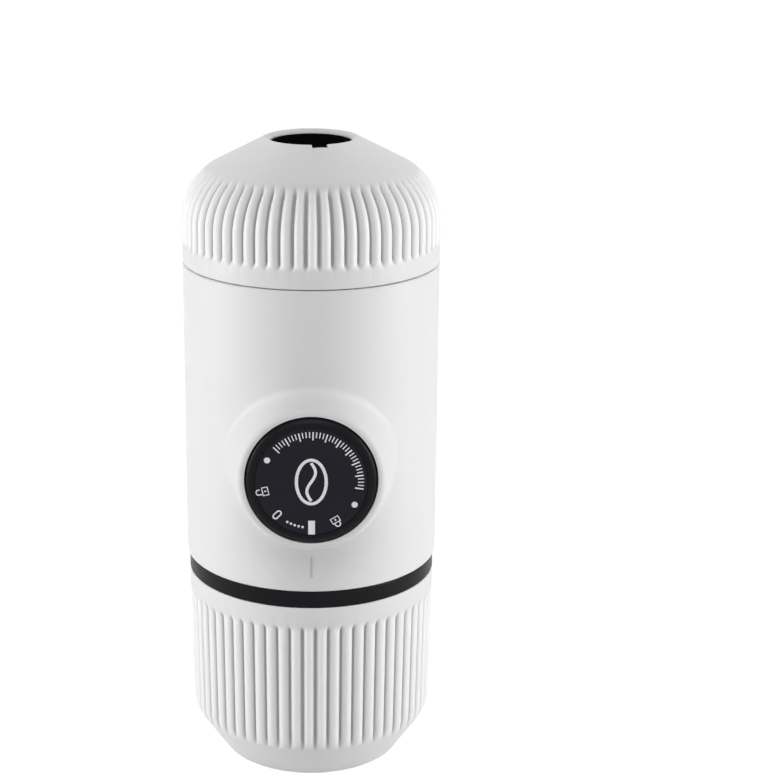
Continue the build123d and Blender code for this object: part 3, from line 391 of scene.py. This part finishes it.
finishes = {
    "shellWhite": plasticFinish("shellWhite", {
        "colour": (0.80, 0.80, 0.795),
        "wornColour": (0.86, 0.86, 0.855),
        # painted highlight on the ribs' crests
        "paintedRibHighlight": (0.94, 0.94, 0.935),
        "ribHighlightGain": 1.4,
        # painted shade on the groove floors
        "paintedGrooveShade": (0.46, 0.46, 0.465),
        "grooveShadeGain": 1.2,
        "grain": {"Grain Scale": 2400.0, "Patch Scale": 60.0, "Roughness": 0.47, "Spread": 0.05},
        "worn": {"Break Scale": 300.0, "Amount": 0.25},
        "patchy": 0.12,
        "bump": 0.10,
        "bumpDepth": 0.00008,
        "plain": {"Specular IOR Level": 0.35},
    }),
    "softBlack": plasticFinish("softBlack", {
        "colour": (0.006, 0.006, 0.008),
        "wornColour": (0.035, 0.035, 0.041),
        "grain": {"Grain Scale": 3000.0, "Patch Scale": 90.0, "Roughness": 0.36, "Spread": 0.06},
        "worn": {"Break Scale": 500.0, "Amount": 0.35},
        "patchy": 0.10,
        "bump": 0.14,
        "bumpDepth": 0.00008,
        "plain": {"Specular IOR Level": 0.09},
    }),
    "plateBlack": plasticFinish("plateBlack", {
        "colour": (0.010, 0.010, 0.016),
        "wornColour": (0.024, 0.024, 0.034),
        "grain": {"Grain Scale": 3400.0, "Patch Scale": 120.0, "Roughness": 0.44, "Spread": 0.06},
        "worn": {"Break Scale": 500.0, "Amount": 0.2},
        "patchy": 0.25,
        "bump": 0.12,
        "bumpDepth": 0.00006,
        "plain": {"Specular IOR Level": 0.12},
    }),
    "mouldedBlack": plasticFinish("mouldedBlack", {
        "colour": (0.018, 0.018, 0.020),
        "wornColour": (0.05, 0.05, 0.055),
        "grain": {"Grain Scale": 1800.0, "Patch Scale": 70.0, "Roughness": 0.36, "Spread": 0.10},
        "worn": {"Break Scale": 350.0, "Amount": 0.4},
        "patchy": 0.15,
        "bump": 0.2,
        "bumpDepth": 0.0001,
    }),
    "throatBlack": plasticFinish("throatBlack", {
        "colour": (0.006, 0.006, 0.007),
        "wornColour": (0.03, 0.03, 0.033),
        "grain": {"Grain Scale": 1500.0, "Patch Scale": 150.0, "Roughness": 0.3, "Spread": 0.06},
        "worn": {"Break Scale": 400.0, "Amount": 0.05},
        "patchy": 0.05,
        "bump": 0.08,
        "bumpDepth": 0.00006,
        "plain": {"Specular IOR Level": 0.0},
    }),
    "naturalPolymer": plasticFinish("naturalPolymer", {
        "colour": (0.56, 0.55, 0.50),
        "wornColour": (0.66, 0.65, 0.61),
        "grain": {"Grain Scale": 1600.0, "Patch Scale": 90.0, "Roughness": 0.38, "Spread": 0.1},
        "worn": {"Break Scale": 400.0, "Amount": 0.3},
        "patchy": 0.3,
        "bump": 0.15,
        "bumpDepth": 0.0001,
        "plain": {"Subsurface Weight": 0.1, "Subsurface Scale": 0.002},
    }),
    "siliconeDark": plasticFinish("siliconeDark", {
        "colour": (0.035, 0.035, 0.038),
        "wornColour": (0.09, 0.09, 0.095),
        "grain": {"Grain Scale": 1400.0, "Patch Scale": 120.0, "Roughness": 0.55, "Spread": 0.1},
        "worn": {"Break Scale": 600.0, "Amount": 0.3},
        "patchy": 0.25,
        "bump": 0.2,
        "bumpDepth": 0.0001,
    }),
    "siliconeClear": plasticFinish("siliconeClear", {
        "colour": (0.62, 0.62, 0.58),
        "wornColour": (0.74, 0.74, 0.71),
        "grain": {"Grain Scale": 1400.0, "Patch Scale": 120.0, "Roughness": 0.42, "Spread": 0.1},
        "worn": {"Break Scale": 600.0, "Amount": 0.2},
        "patchy": 0.2,
        "bump": 0.15,
        "bumpDepth": 0.0001,
        "plain": {"Subsurface Weight": 0.3, "Subsurface Scale": 0.003},
    }),
    "inkWhite": plasticFinish("inkWhite", {
        "colour": (0.94, 0.94, 0.96),
        "wornColour": (0.78, 0.78, 0.80),
        "grain": {"Grain Scale": 3000.0, "Patch Scale": 700.0, "Roughness": 0.5, "Spread": 0.06},
        "worn": {"Break Scale": 900.0, "Amount": 0.2},
        "patchy": 0.35,
        "bump": 0.1,
        "bumpDepth": 0.00004,
    }),
    "steelTurned": metalFinish("steelTurned", {
        "colour": (0.60, 0.60, 0.61),
        "tarnish": (0.48, 0.47, 0.46),
        "tarnishScale": 180.0,
        "rings": {"Ring Scale": 5200.0, "Roughness": 0.24, "Spread": 0.12},
        "bump": 0.12,
        "bumpDepth": 0.00005,
    }),
    "steelOnPump": metalFinish("steelOnPump", {
        "colour": (0.60, 0.60, 0.61),
        "tarnish": (0.48, 0.47, 0.46),
        "tarnishScale": 180.0,
        "rings": {"Ring Scale": 5200.0, "Roughness": 0.2, "Spread": 0.12},
        "bump": 0.12,
        "bumpDepth": 0.00005,
    }, pumpAxis=True),
    "springWire": metalFinish("springWire", {
        "colour": (0.52, 0.52, 0.54),
        "tarnish": (0.36, 0.35, 0.34),
        "tarnishScale": 300.0,
        "rings": {"Ring Scale": 2600.0, "Roughness": 0.3, "Spread": 0.1},
        "bump": 0.1,
        "bumpDepth": 0.00005,
    }, pumpAxis=True),
    "brassTurned": metalFinish("brassTurned", {
        "colour": (0.72, 0.52, 0.24),
        "tarnish": (0.50, 0.33, 0.14),
        "tarnishScale": 400.0,
        "rings": {"Ring Scale": 5200.0, "Roughness": 0.24, "Spread": 0.12},
        "bump": 0.12,
        "bumpDepth": 0.00005,
    }),
    "smokeTank": smokeFinish("smokeTank", {
        "grain": {"Grain Scale": 900.0, "Patch Scale": 80.0, "Roughness": 0.09, "Spread": 0.05},
        "bump": 0.05,
        "bumpDepth": 0.0001,
        "plain": {"Base Color": (0.12, 0.12, 0.125, 1), "Transmission Weight": 0.85, "IOR": 1.5},
    }),
}
print("finishes ready:", len(finishes))


# outlet cover: fluted dome with a round hole and a notch for the key
cover = {
    "radius": overall["bodyRadius"],
    "wall": 2.0,
    "bottom": overall["partingLine"] + 0.3,
    "shoulderStart": overall["partingLine"] + 11.1,
    "shoulderRound": 14.0,
    "slope": 27.5,
    "rimRadius": 11.2,
    "rimCrest": 0.4,          # width of the flat ring round the hole
    "rimDrop": 0.75,          # from the crest down to the hole's edge
    "rimOuterRound": 1.0,
    "rimInnerRound": 0.4,
    "holeRadius": 9.65,
    "edgeRound": 0.35,
    "fluteCount": 62,
    "flutePhase": 0.5,
    "fluteDepth": 1.35,
    "ribShare": 0.86,         # of the pitch
    "fluteStart": 4.4,        # above the parting line
    "fluteRunOut": 1.8,
    "fluteFade": (0.70, 0.93),  # part of the shoulder's turn over which flutes fade
    "stepsPerFlute": 22,
    "rowCount": 6,            # rows of faces along the flutes' start
    "rowSpacing": 0.4,
    "rowsPastShoulder": (0.3, 1.0),
    "innerReach": 12.0,       # rows are cut this far in from the shoulder's end
    "skin": 0.5,              # thickness at the shoulder that counts as its outside
    "sharpAngle": 75,
    "notchAngle": -80.0,
    "notchWidth": 3.7,
    "notchReach": 12.05,
    "notchDepth": 3.1,
}


def dentFlutes(bm, look, depthAt):
    # pull the skin inwards along grooves that repeat round the axis
    # the mark runs from 0 on plain walls to 1 on groove floors and -1 on the ribs' crests
    # the white finish reads this mark to paint shade on the groove floors and a highlight on the ribs' crests
    mark = bm.verts.layers.float.new("flute")
    pitch = 2 * math.pi / look["fluteCount"]
    phase = math.radians(look["flutePhase"])
    bm.normal_update()
    moves = []
    for v in bm.verts:
        outward = v.normal.x * v.co.x + v.normal.y * v.co.y
        depth = depthAt(v.co) if outward > 0 else 0.0
        if depth > 0:
            turn = (math.atan2(v.co.y, v.co.x) - phase) / pitch
            # each rib is half an ellipse across, with the groove's floor beyond it
            onRib = (1 - abs(turn - round(turn)) * 2) / look["ribShare"]
            groove = 1 - math.sqrt(max(0.0, 1 - onRib * onRib))
            moves.append((v, v.normal * (-depth * groove)))
            v[mark] = (2 * groove - 1) * depth / look["fluteDepth"]
    for v, move in moves:
        v.co += move


def makeCover():
    c = cover
    slope = math.radians(c["slope"])
    centre = Vector((c["radius"] - c["shoulderRound"], 0, c["shoulderStart"]))
    turn = math.pi / 2 - slope
    outerEnd = centre + Vector((math.cos(turn), 0, math.sin(turn))) * c["shoulderRound"]
    apexRise = (outerEnd.x - c["rimRadius"]) * math.tan(slope)
    rimHeight = outerEnd.z + apexRise
    innerDrop = c["wall"] / math.cos(slope)
    innerHole = outerEnd.z + (outerEnd.x - c["holeRadius"]) * math.tan(slope) - innerDrop
    # where the wall's upright line and the cone's line cross, outside and inside
    crossing = outerEnd.z - (c["radius"] - outerEnd.x) * math.tan(slope)
    innerRadius = c["radius"] - c["wall"]
    innerCrossing = crossing + (c["radius"] - innerRadius) * math.tan(slope) - innerDrop
    bm = drawOutline([
        (c["radius"], c["bottom"], c["edgeRound"]),
        (c["radius"], crossing, c["shoulderRound"]),
        (c["rimRadius"], rimHeight, c["rimOuterRound"]),
        (c["rimRadius"] - c["rimCrest"], rimHeight, c["rimInnerRound"]),
        (c["holeRadius"], rimHeight - c["rimDrop"], c["rimInnerRound"]),
        (c["holeRadius"], innerHole, 0.0),
        (innerRadius, innerCrossing, c["shoulderRound"] - c["wall"]),
        (innerRadius, c["bottom"], 0.0),
    ], c["shoulderRound"])
    grooveEnd = overall["partingLine"] + c["fluteStart"]
    rows = [grooveEnd + i * c["rowSpacing"] for i in range(c["rowCount"])]
    rows += [outerEnd.z + rise for rise in c["rowsPastShoulder"]]
    addRows(bm, rows, outerEnd.x - c["innerReach"])
    turnOnLathe(bm, c["stepsPerFlute"], c["flutePhase"], c["fluteCount"])

    def depthAt(co):
        radius = math.hypot(co.x, co.y)
        if co.z <= c["shoulderStart"]:
            rise = co.z - overall["partingLine"] - c["fluteStart"]
            return c["fluteDepth"] * smoothStep(0, c["fluteRunOut"], rise)
        share = math.atan2(co.z - centre.z, radius - centre.x) / turn
        if math.hypot(co.z - centre.z, radius - centre.x) < c["shoulderRound"] - c["skin"]:
            return 0.0
        return c["fluteDepth"] * (1 - smoothStep(*c["fluteFade"], share))

    dentFlutes(bm, c, depthAt)
    piece = finishPiece(
        bm, "outletCover", "head", finishes["shellWhite"], ["outlet_cover"], c["sharpAngle"]
    )

    cutter = bmesh.new()
    bmesh.ops.create_cube(cutter, size=1.0)
    reach = c["notchReach"]
    bmesh.ops.scale(cutter, verts=cutter.verts, vec=(reach, c["notchWidth"], 2 * c["notchDepth"]))
    bmesh.ops.translate(cutter, verts=cutter.verts, vec=(reach / 2, 0, rimHeight))
    spin = Matrix.Rotation(math.radians(c["notchAngle"]), 3, "Z")
    bmesh.ops.rotate(cutter, verts=cutter.verts, cent=(0, 0, 0), matrix=spin)
    cutWith(piece, cutter, c["sharpAngle"])


makeCover()


# drinking cup: drafted and fluted wall on a sloping foot
cup = {
    "footRadius": 22.2,
    "footEdge": 0.8,
    "innerFootInset": 0.4,
    "innerFootRound": 1.5,
    "shoulderRadius": 30.0,
    "shoulderHeight": 11.3,
    "shoulderRound": 8.0,
    "rimRadius": 30.57,
    "rimRound": 0.35,
    "height": 48.2,
    "wall": 1.5,
    "floor": 1.8,
    "fluteCount": 60,
    "flutePhase": 1.9,
    "fluteDepth": 1.1,
    "ribShare": 0.86,
    "fluteTop": 43.6,
    "fluteRunOut": 2.2,
    "fluteSoft": 0.08,        # rounds the edge where the groove floors run out
    "fluteEnd": 0.002,        # grooves shallower than this are left out
    "lowestFlute": 1.5,
    "stepsPerFlute": 20,
    "rowSpacing": 0.5,
    "lowRows": (5.0, 10),     # height of the first and their number
    "midRows": (14.5, 16.5),
    "topRows": 6,
    "innerFrom": 14.0,        # above this height the inner wall is told from the outer by its radius
    "innerGap": 0.3,
    "sharpAngle": 75,
}


def makeCup():
    c = cup
    slope = c["shoulderHeight"] / (c["shoulderRadius"] - c["footRadius"])
    innerFoot = c["footRadius"] - c["innerFootInset"]
    innerShoulder = c["shoulderRadius"] - c["wall"]
    innerHeight = c["floor"] + slope * (innerShoulder - innerFoot)
    bm = drawOutline([
        (0.0, 0.0, 0.0),
        (c["footRadius"], 0.0, c["footEdge"]),
        (c["shoulderRadius"], c["shoulderHeight"], c["shoulderRound"]),
        (c["rimRadius"], c["height"], c["rimRound"]),
        (c["rimRadius"] - c["wall"], c["height"], c["rimRound"]),
        (innerShoulder, innerHeight, c["shoulderRound"] - c["wall"]),
        (innerFoot, c["floor"], c["innerFootRound"]),
        (0.0, c["floor"], 0.0),
    ], c["shoulderRound"])
    lowest, lowCount = c["lowRows"]
    rows = [lowest + i * c["rowSpacing"] for i in range(lowCount)] + list(c["midRows"])
    rows += [c["fluteTop"] - i * c["rowSpacing"] for i in range(c["topRows"])]
    addRows(bm, rows, c["footRadius"])
    turnOnLathe(bm, c["stepsPerFlute"], c["flutePhase"], c["fluteCount"])
    draft = (c["rimRadius"] - c["shoulderRadius"]) / (c["height"] - c["shoulderHeight"])

    def depthAt(co):
        # groove floors follow the wall's draft, so they run out where the shoulder rounds inwards
        radius = math.hypot(co.x, co.y)
        wall = c["shoulderRadius"] + draft * (co.z - c["shoulderHeight"])
        isInner = co.z > c["innerFrom"] and radius < wall - c["wall"] + c["innerGap"]
        if isInner or co.z < c["lowestFlute"]:
            return 0.0
        left = c["fluteDepth"] - (wall - radius)
        milled = 0.5 * (left + math.hypot(left, c["fluteSoft"])) - c["fluteEnd"]
        return max(0.0, milled) * smoothStep(0, c["fluteRunOut"], c["fluteTop"] - co.z)

    dentFlutes(bm, c, depthAt)
    finishPiece(
        bm, "drinkingCup", "cup", finishes["shellWhite"], ["drinking_cup"], c["sharpAngle"]
    )


makeCup()


# piston cap's face plate
plate = {
    "front": 39.94,           # of its face, before the body's axis
    "radius": 13.0,
    "thickness": 0.74,
    "edgeRound": 0.15,
    "steps": 96,
}


def makePlate():
    p = plate
    back = p["front"] - p["thickness"]
    bm = drawOutline([
        (0.0, p["front"], 0.0),
        (p["radius"], p["front"], p["edgeRound"]),
        (p["radius"], back, 0.0),
        (0.0, back, 0.0),
    ])
    turnOnLathe(bm, p["steps"])
    layOnPump(bm)
    finishPiece(bm, "capPlate", "cap", finishes["plateBlack"], ["cap_plate"])


makePlate()

# printed marks on the face plate
marks = {
    "ring": 11.2,             # radius that the marks stand on
    "ink": 0.03,
    "bar": {"from": -12.85, "to": -9.45, "width": 1.7},
    "scale": {"count": 37, "start": 136, "step": -4, "longEvery": 4, "outwards": 0.9},
    "longTick": {"inwards": 1.1, "width": 0.34},
    "shortTick": {"inwards": 0.5, "width": 0.26},
    "lockedAngle": 301.0,
    "freeAngle": 192.0,
    "padlock": {
        "body": [(-0.95, -1.05), (0.95, -1.05), (0.95, 0.25), (-0.95, 0.25)],
        "bodyWidth": 0.34,
        "keyhole": [(0, -0.65), (0, -0.2)],
        "keyholeWidth": 0.4,
        "bowRadius": 0.6,
        "bowHeight": 0.7,
        "legHeight": 0.3,
        "bowWidth": 0.32,
        "openLift": 0.45,
    },
    "zero": {"angle": 225.5, "radius": 0.55, "rise": 0.55, "width": 0.36},
    "bean": {"size": (3.4, 5.3), "points": 36, "width": 0.8},
    "beanSplit": {"sway": 1.0, "half": 4.6, "parts": 16, "width": 0.75},
    "dots": {"angles": (152.5, 331.0), "outwards": 0.2, "radius": 0.72},
    "smallDots": {"count": 5, "start": 240.5, "step": 4.8, "radius": 0.3},
    "dotSides": 24,
}


def onCircle(radius, angle, centre=(0.0, 0.0)):
    turn = math.radians(angle)
    return centre[0] + radius * math.cos(turn), centre[1] + radius * math.sin(turn)


def addStroke(curve, points, width, closed=False):
    spline = curve.splines.new("POLY")
    spline.points.add(len(points) - 1)
    for point, (x, y) in zip(spline.points, points):
        point.co = (x, y, 0, 1)
        point.radius = width / 2
    spline.use_cyclic_u = closed


def addDot(bm, centre, radius):
    bmesh.ops.create_cone(
        bm, cap_ends=True, segments=marks["dotSides"], radius1=radius, radius2=radius,
        depth=2 * marks["ink"], matrix=Matrix.Translation((*centre, 0)),
    )


def placeIcon(points, angle):
    # an icon's points, drawn upright about its own centre, onto the ring of marks with its foot inwards
    x0, y0 = onCircle(marks["ring"], angle)
    turn = math.radians(angle - 90)
    return [
        (x0 + x * math.cos(turn) - y * math.sin(turn), y0 + x * math.sin(turn) + y * math.cos(turn))
        for x, y in points
    ]


def addPadlock(curve, angle, isOpen):
    p = marks["padlock"]
    addStroke(curve, placeIcon(p["body"], angle), p["bodyWidth"], closed=True)
    addStroke(curve, placeIcon(p["keyhole"], angle), p["keyholeWidth"])
    lift = p["openLift"] if isOpen else 0.0
    bow = [onCircle(p["bowRadius"], a, (0, p["bowHeight"] + lift)) for a in range(0, 181, 20)]
    shackle = [(p["bowRadius"], p["legHeight"] + lift), *bow, (-p["bowRadius"], p["legHeight"])]
    addStroke(curve, placeIcon(shackle, angle), p["bowWidth"])


def makeMarks():
    m = marks
    curve = bpy.data.curves.new("marks", "CURVE")
    curve.dimensions = "3D"
    curve.bevel_depth = 1.0
    curve.bevel_resolution = 2
    curve.use_fill_caps = True
    ring = m["ring"]
    # index bar at the foot
    addStroke(curve, [(0, m["bar"]["from"]), (0, m["bar"]["to"])], m["bar"]["width"])
    # plain scale over the upper part
    scale = m["scale"]
    for i in range(scale["count"]):
        angle = scale["start"] + i * scale["step"]
        tick = m["shortTick"] if i % scale["longEvery"] else m["longTick"]
        ends = [onCircle(ring - tick["inwards"], angle), onCircle(ring + scale["outwards"], angle)]
        addStroke(curve, ends, tick["width"])
    addPadlock(curve, m["lockedAngle"], False)
    addPadlock(curve, m["freeAngle"], True)
    zero = m["zero"]
    pill = [onCircle(zero["radius"], a, (0, zero["rise"])) for a in range(0, 181, 30)]
    pill += [onCircle(zero["radius"], a, (0, -zero["rise"])) for a in range(180, 361, 30)]
    addStroke(curve, placeIcon(pill, zero["angle"]), zero["width"], closed=True)
    # coffee bean in the middle
    bean = m["bean"]
    wide, tall = bean["size"]
    turns = [i / bean["points"] * math.tau for i in range(bean["points"])]
    addStroke(curve, [(wide * math.cos(t), tall * math.sin(t)) for t in turns], bean["width"], closed=True)
    split = m["beanSplit"]
    shares = [i / split["parts"] for i in range(split["parts"] + 1)]
    line = [(split["sway"] * math.sin(t * math.tau), split["half"] * (1 - 2 * t)) for t in shares]
    addStroke(curve, line, split["width"])

    holder = bpy.data.objects.new("marks", curve)
    bpy.context.scene.collection.objects.link(holder)
    bpy.context.view_layer.update()
    inked = bpy.data.meshes.new_from_object(holder.evaluated_get(bpy.context.evaluated_depsgraph_get()))
    bpy.data.objects.remove(holder)
    bm = bmesh.new()
    bm.from_mesh(inked)
    bpy.data.meshes.remove(inked)
    # the round strokes are pressed flat
    for v in bm.verts:
        v.co.z = m["ink"] * (1 if v.co.z > 0 else -1)
    bmesh.ops.remove_doubles(bm, verts=bm.verts, dist=overall["mergeDistance"])
    # dots at the ends of the scale, and a row of small ones from the bar to the free position
    for angle in m["dots"]["angles"]:
        addDot(bm, onCircle(ring + m["dots"]["outwards"], angle), m["dots"]["radius"])
    small = m["smallDots"]
    for i in range(small["count"]):
        addDot(bm, onCircle(ring, small["start"] + i * small["step"]), small["radius"])
    bmesh.ops.translate(bm, verts=bm.verts, vec=(0, 0, plate["front"]))
    layOnPump(bm)
    finishPiece(bm, "capMarks", "cap", finishes["inkWhite"])


makeMarks()


# coil springs, remade from their nodes; on the real object they stretch or close between the parts that they
# press on
springs = {
    # along is the axis, 0 to 2 for X to Z
    "returnSpring": {"node": "return_spring", "moves": "piston", "along": 1},
    "inletSpring": {"node": "inlet_spring", "moves": "inlet_ball", "along": 2},
    "outletSpring": {"node": "outlet_spring", "moves": "outlet_ball", "along": 2},
}


def makeSpring(name, look):
    # the points at its high and low ends along the axis are worked out, but nothing uses them
    low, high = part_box(look["node"])
    bm = bmesh.new()
    bm.from_mesh(nodes[look["node"]].data)
    bmesh.ops.scale(bm, verts=bm.verts, vec=(1 / mm, 1 / mm, 1 / mm))
    bmesh.ops.remove_doubles(bm, verts=bm.verts, dist=overall["mergeDistance"])
    piece = finishPiece(bm, name, None, finishes["springWire"], [look["node"]])
    stays = (low + high) / 2
    follows = stays.copy()
    stays[look["along"]] = high[look["along"]]
    follows[look["along"]] = low[look["along"]]
    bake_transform(piece)


for name, look in springs.items():
    makeSpring(name, look)


# finishes of the pieces that keep their turned and moulded form
nodeFinish = {
    "body_shell": "shellWhite",
    "tank_collar": "softBlack",
    "piston_cap": "softBlack",
    "chassis": "mouldedBlack",
    "piston_guide": "mouldedBlack",
    "valve_block": "mouldedBlack",
    "outlet_body": "throatBlack",
    "spout": "mouldedBlack",
    "scoop": "mouldedBlack",
    "water_tank": "smokeTank",
    "piston_rod": "naturalPolymer",
    "pump_cylinder": "steelOnPump",
    "pump_screws": "steelOnPump",
    "cap_screw": "steelOnPump",
    "screen_screw": "steelTurned",
    "shower_screen": "steelTurned",
    "outlet_screen": "steelTurned",
    "filter_basket": "steelTurned",
    "intake_filter": "steelTurned",
    "inlet_ball": "steelTurned",
    "outlet_ball": "steelTurned",
    "valve_inserts": "brassTurned",
    "duct_seals": "siliconeDark",
    "piston_seal": "siliconeDark",
    "basket_gasket": "siliconeDark",
    "head_gasket": "siliconeDark",
    "tank_gasket": "siliconeDark",
    "grip_ring": "siliconeDark",
    "vent_valve": "siliconeClear",
    "crema_valve": "siliconeClear",
}
for name, finish in nodeFinish.items():
    mesh = nodes[name].data
    mesh.materials.clear()
    mesh.materials.append(finishes[finish])
print("finishes given to", len(nodeFinish), "kept nodes")


# floor, light and camera
studio = {
    "floorSize": 12.0,
    "floorColour": (0.86, 0.86, 0.86, 1),
    "floorRoughness": 0.9,
    "floorWhite": (0.665, 0.80),  # share of its own white that the floor shows, under the object and far off
    "floorReach": 0.9,        # how far off the lamps' light has fallen away
    "floorGlow": 1.25,        # with the lit share this adds up to white
    "worldLight": 0.08,
    "aim": (0.0, 0.0, 0.085),
    # each lamp's direction round the object and above it in degrees, distance, width and height, and power
    "lamps": {
        "leftStrip": {"turn": -78, "rise": 9, "distance": 0.35, "size": (0.08, 0.2), "power": 0.65},
        "rightStrip": {"turn": 78, "rise": 9, "distance": 0.35, "size": (0.08, 0.2), "power": 0.65},
        "frontBox": {"turn": 0, "rise": 50, "distance": 0.8, "size": (0.45, 0.45), "power": 2.3},
        "backBox": {"turn": 180, "rise": 48, "distance": 0.8, "size": (0.45, 0.45), "power": 1.8},
    },
    "camera": {
        "place": (0.0, -0.47673, 0.24329),
        "tilt": 17.373,       # down from level
        "sensor": 36.0,
        "lens": 94.51,
        "shift": 0.0973,
        "near": 0.01,
    },
}


def whiteRays(tree):
    # 1 for the rays that see plain white: the camera's own, and those that gloss and glass send on
    rays = tree.nodes.new("ShaderNodeLightPath")
    direct = addMath(tree, "MAXIMUM", rays.outputs["Is Camera Ray"], rays.outputs["Is Glossy Ray"])
    return addMath(tree, "MAXIMUM", direct, rays.outputs["Is Transmission Ray"])


def makeFloor():
    bm = bmesh.new()
    bmesh.ops.create_grid(bm, x_segments=1, y_segments=1, size=studio["floorSize"] / 2)
    mesh = bpy.data.meshes.new("floor")
    bm.to_mesh(mesh)
    bm.free()
    floor = bpy.data.objects.new("floor", mesh)
    bpy.context.scene.collection.objects.link(floor)
    material = bpy.data.materials.new("floorPaper")
    material.use_nodes = True
    tree = material.node_tree
    shader = tree.nodes["Principled BSDF"]
    shader.inputs["Base Color"].default_value = studio["floorColour"]
    shader.inputs["Roughness"].default_value = studio["floorRoughness"]
    glow = tree.nodes.new("ShaderNodeEmission")
    glow.inputs["Strength"].default_value = studio["floorGlow"]
    # near the object more of the floor's look is lit, so that it keeps the object's shadow
    away = tree.nodes.new("ShaderNodeVectorMath")
    away.operation = "LENGTH"
    tree.links.new(tree.nodes.new("ShaderNodeTexCoord").outputs["Object"], away.inputs[0])
    white = tree.nodes.new("ShaderNodeMapRange")
    tree.links.new(away.outputs["Value"], white.inputs["Value"])
    white.inputs["From Max"].default_value = studio["floorReach"]
    white.inputs["To Min"].default_value, white.inputs["To Max"].default_value = studio["floorWhite"]
    share = addMath(tree, "MULTIPLY", whiteRays(tree), white.outputs["Result"])
    mix = tree.nodes.new("ShaderNodeMixShader")
    tree.links.new(share, mix.inputs[0])
    tree.links.new(shader.outputs[0], mix.inputs[1])
    tree.links.new(glow.outputs[0], mix.inputs[2])
    tree.links.new(mix.outputs[0], tree.nodes["Material Output"].inputs["Surface"])
    mesh.materials.append(material)


def makeWorld():
    world = bpy.data.worlds.new("studio")
    bpy.context.scene.world = world
    world.use_nodes = True
    tree = world.node_tree
    background = tree.nodes["Background"]
    background.inputs["Color"].default_value = (1, 1, 1, 1)
    seen = whiteRays(tree)
    lightPart = addMath(tree, "SUBTRACT", 1.0, seen)
    dim = addMath(tree, "MULTIPLY", lightPart, studio["worldLight"])
    tree.links.new(addMath(tree, "ADD", seen, dim), background.inputs["Strength"])


def addLamp(name, look):
    light = bpy.data.lights.new(name, "AREA")
    light.shape = "RECTANGLE"
    light.size, light.size_y = look["size"]
    light.energy = look["power"]
    turn = math.radians(look["turn"])
    rise = math.radians(look["rise"])
    away = Vector((math.sin(turn) * math.cos(rise), -math.cos(turn) * math.cos(rise), math.sin(rise)))
    lamp = bpy.data.objects.new(name, light)
    lamp.location = Vector(studio["aim"]) + away * look["distance"]
    lamp.rotation_euler = (-away).to_track_quat("-Z", "Y").to_euler()
    bpy.context.scene.collection.objects.link(lamp)


def makeCamera():
    shot = studio["camera"]
    data = bpy.data.cameras.new("camera")
    data.sensor_width = shot["sensor"]
    data.lens = shot["lens"]
    data.shift_x = shot["shift"]
    data.clip_start = shot["near"]
    camera = bpy.data.objects.new("camera", data)
    camera.location = shot["place"]
    camera.rotation_euler = (math.radians(90 - shot["tilt"]), 0, 0)
    bpy.context.scene.collection.objects.link(camera)
    bpy.context.scene.camera = camera


makeFloor()
makeWorld()
for name, look in studio["lamps"].items():
    addLamp(name, look)
makeCamera()
bpy.context.scene.view_settings.view_transform = "Standard"
print("studio ready")
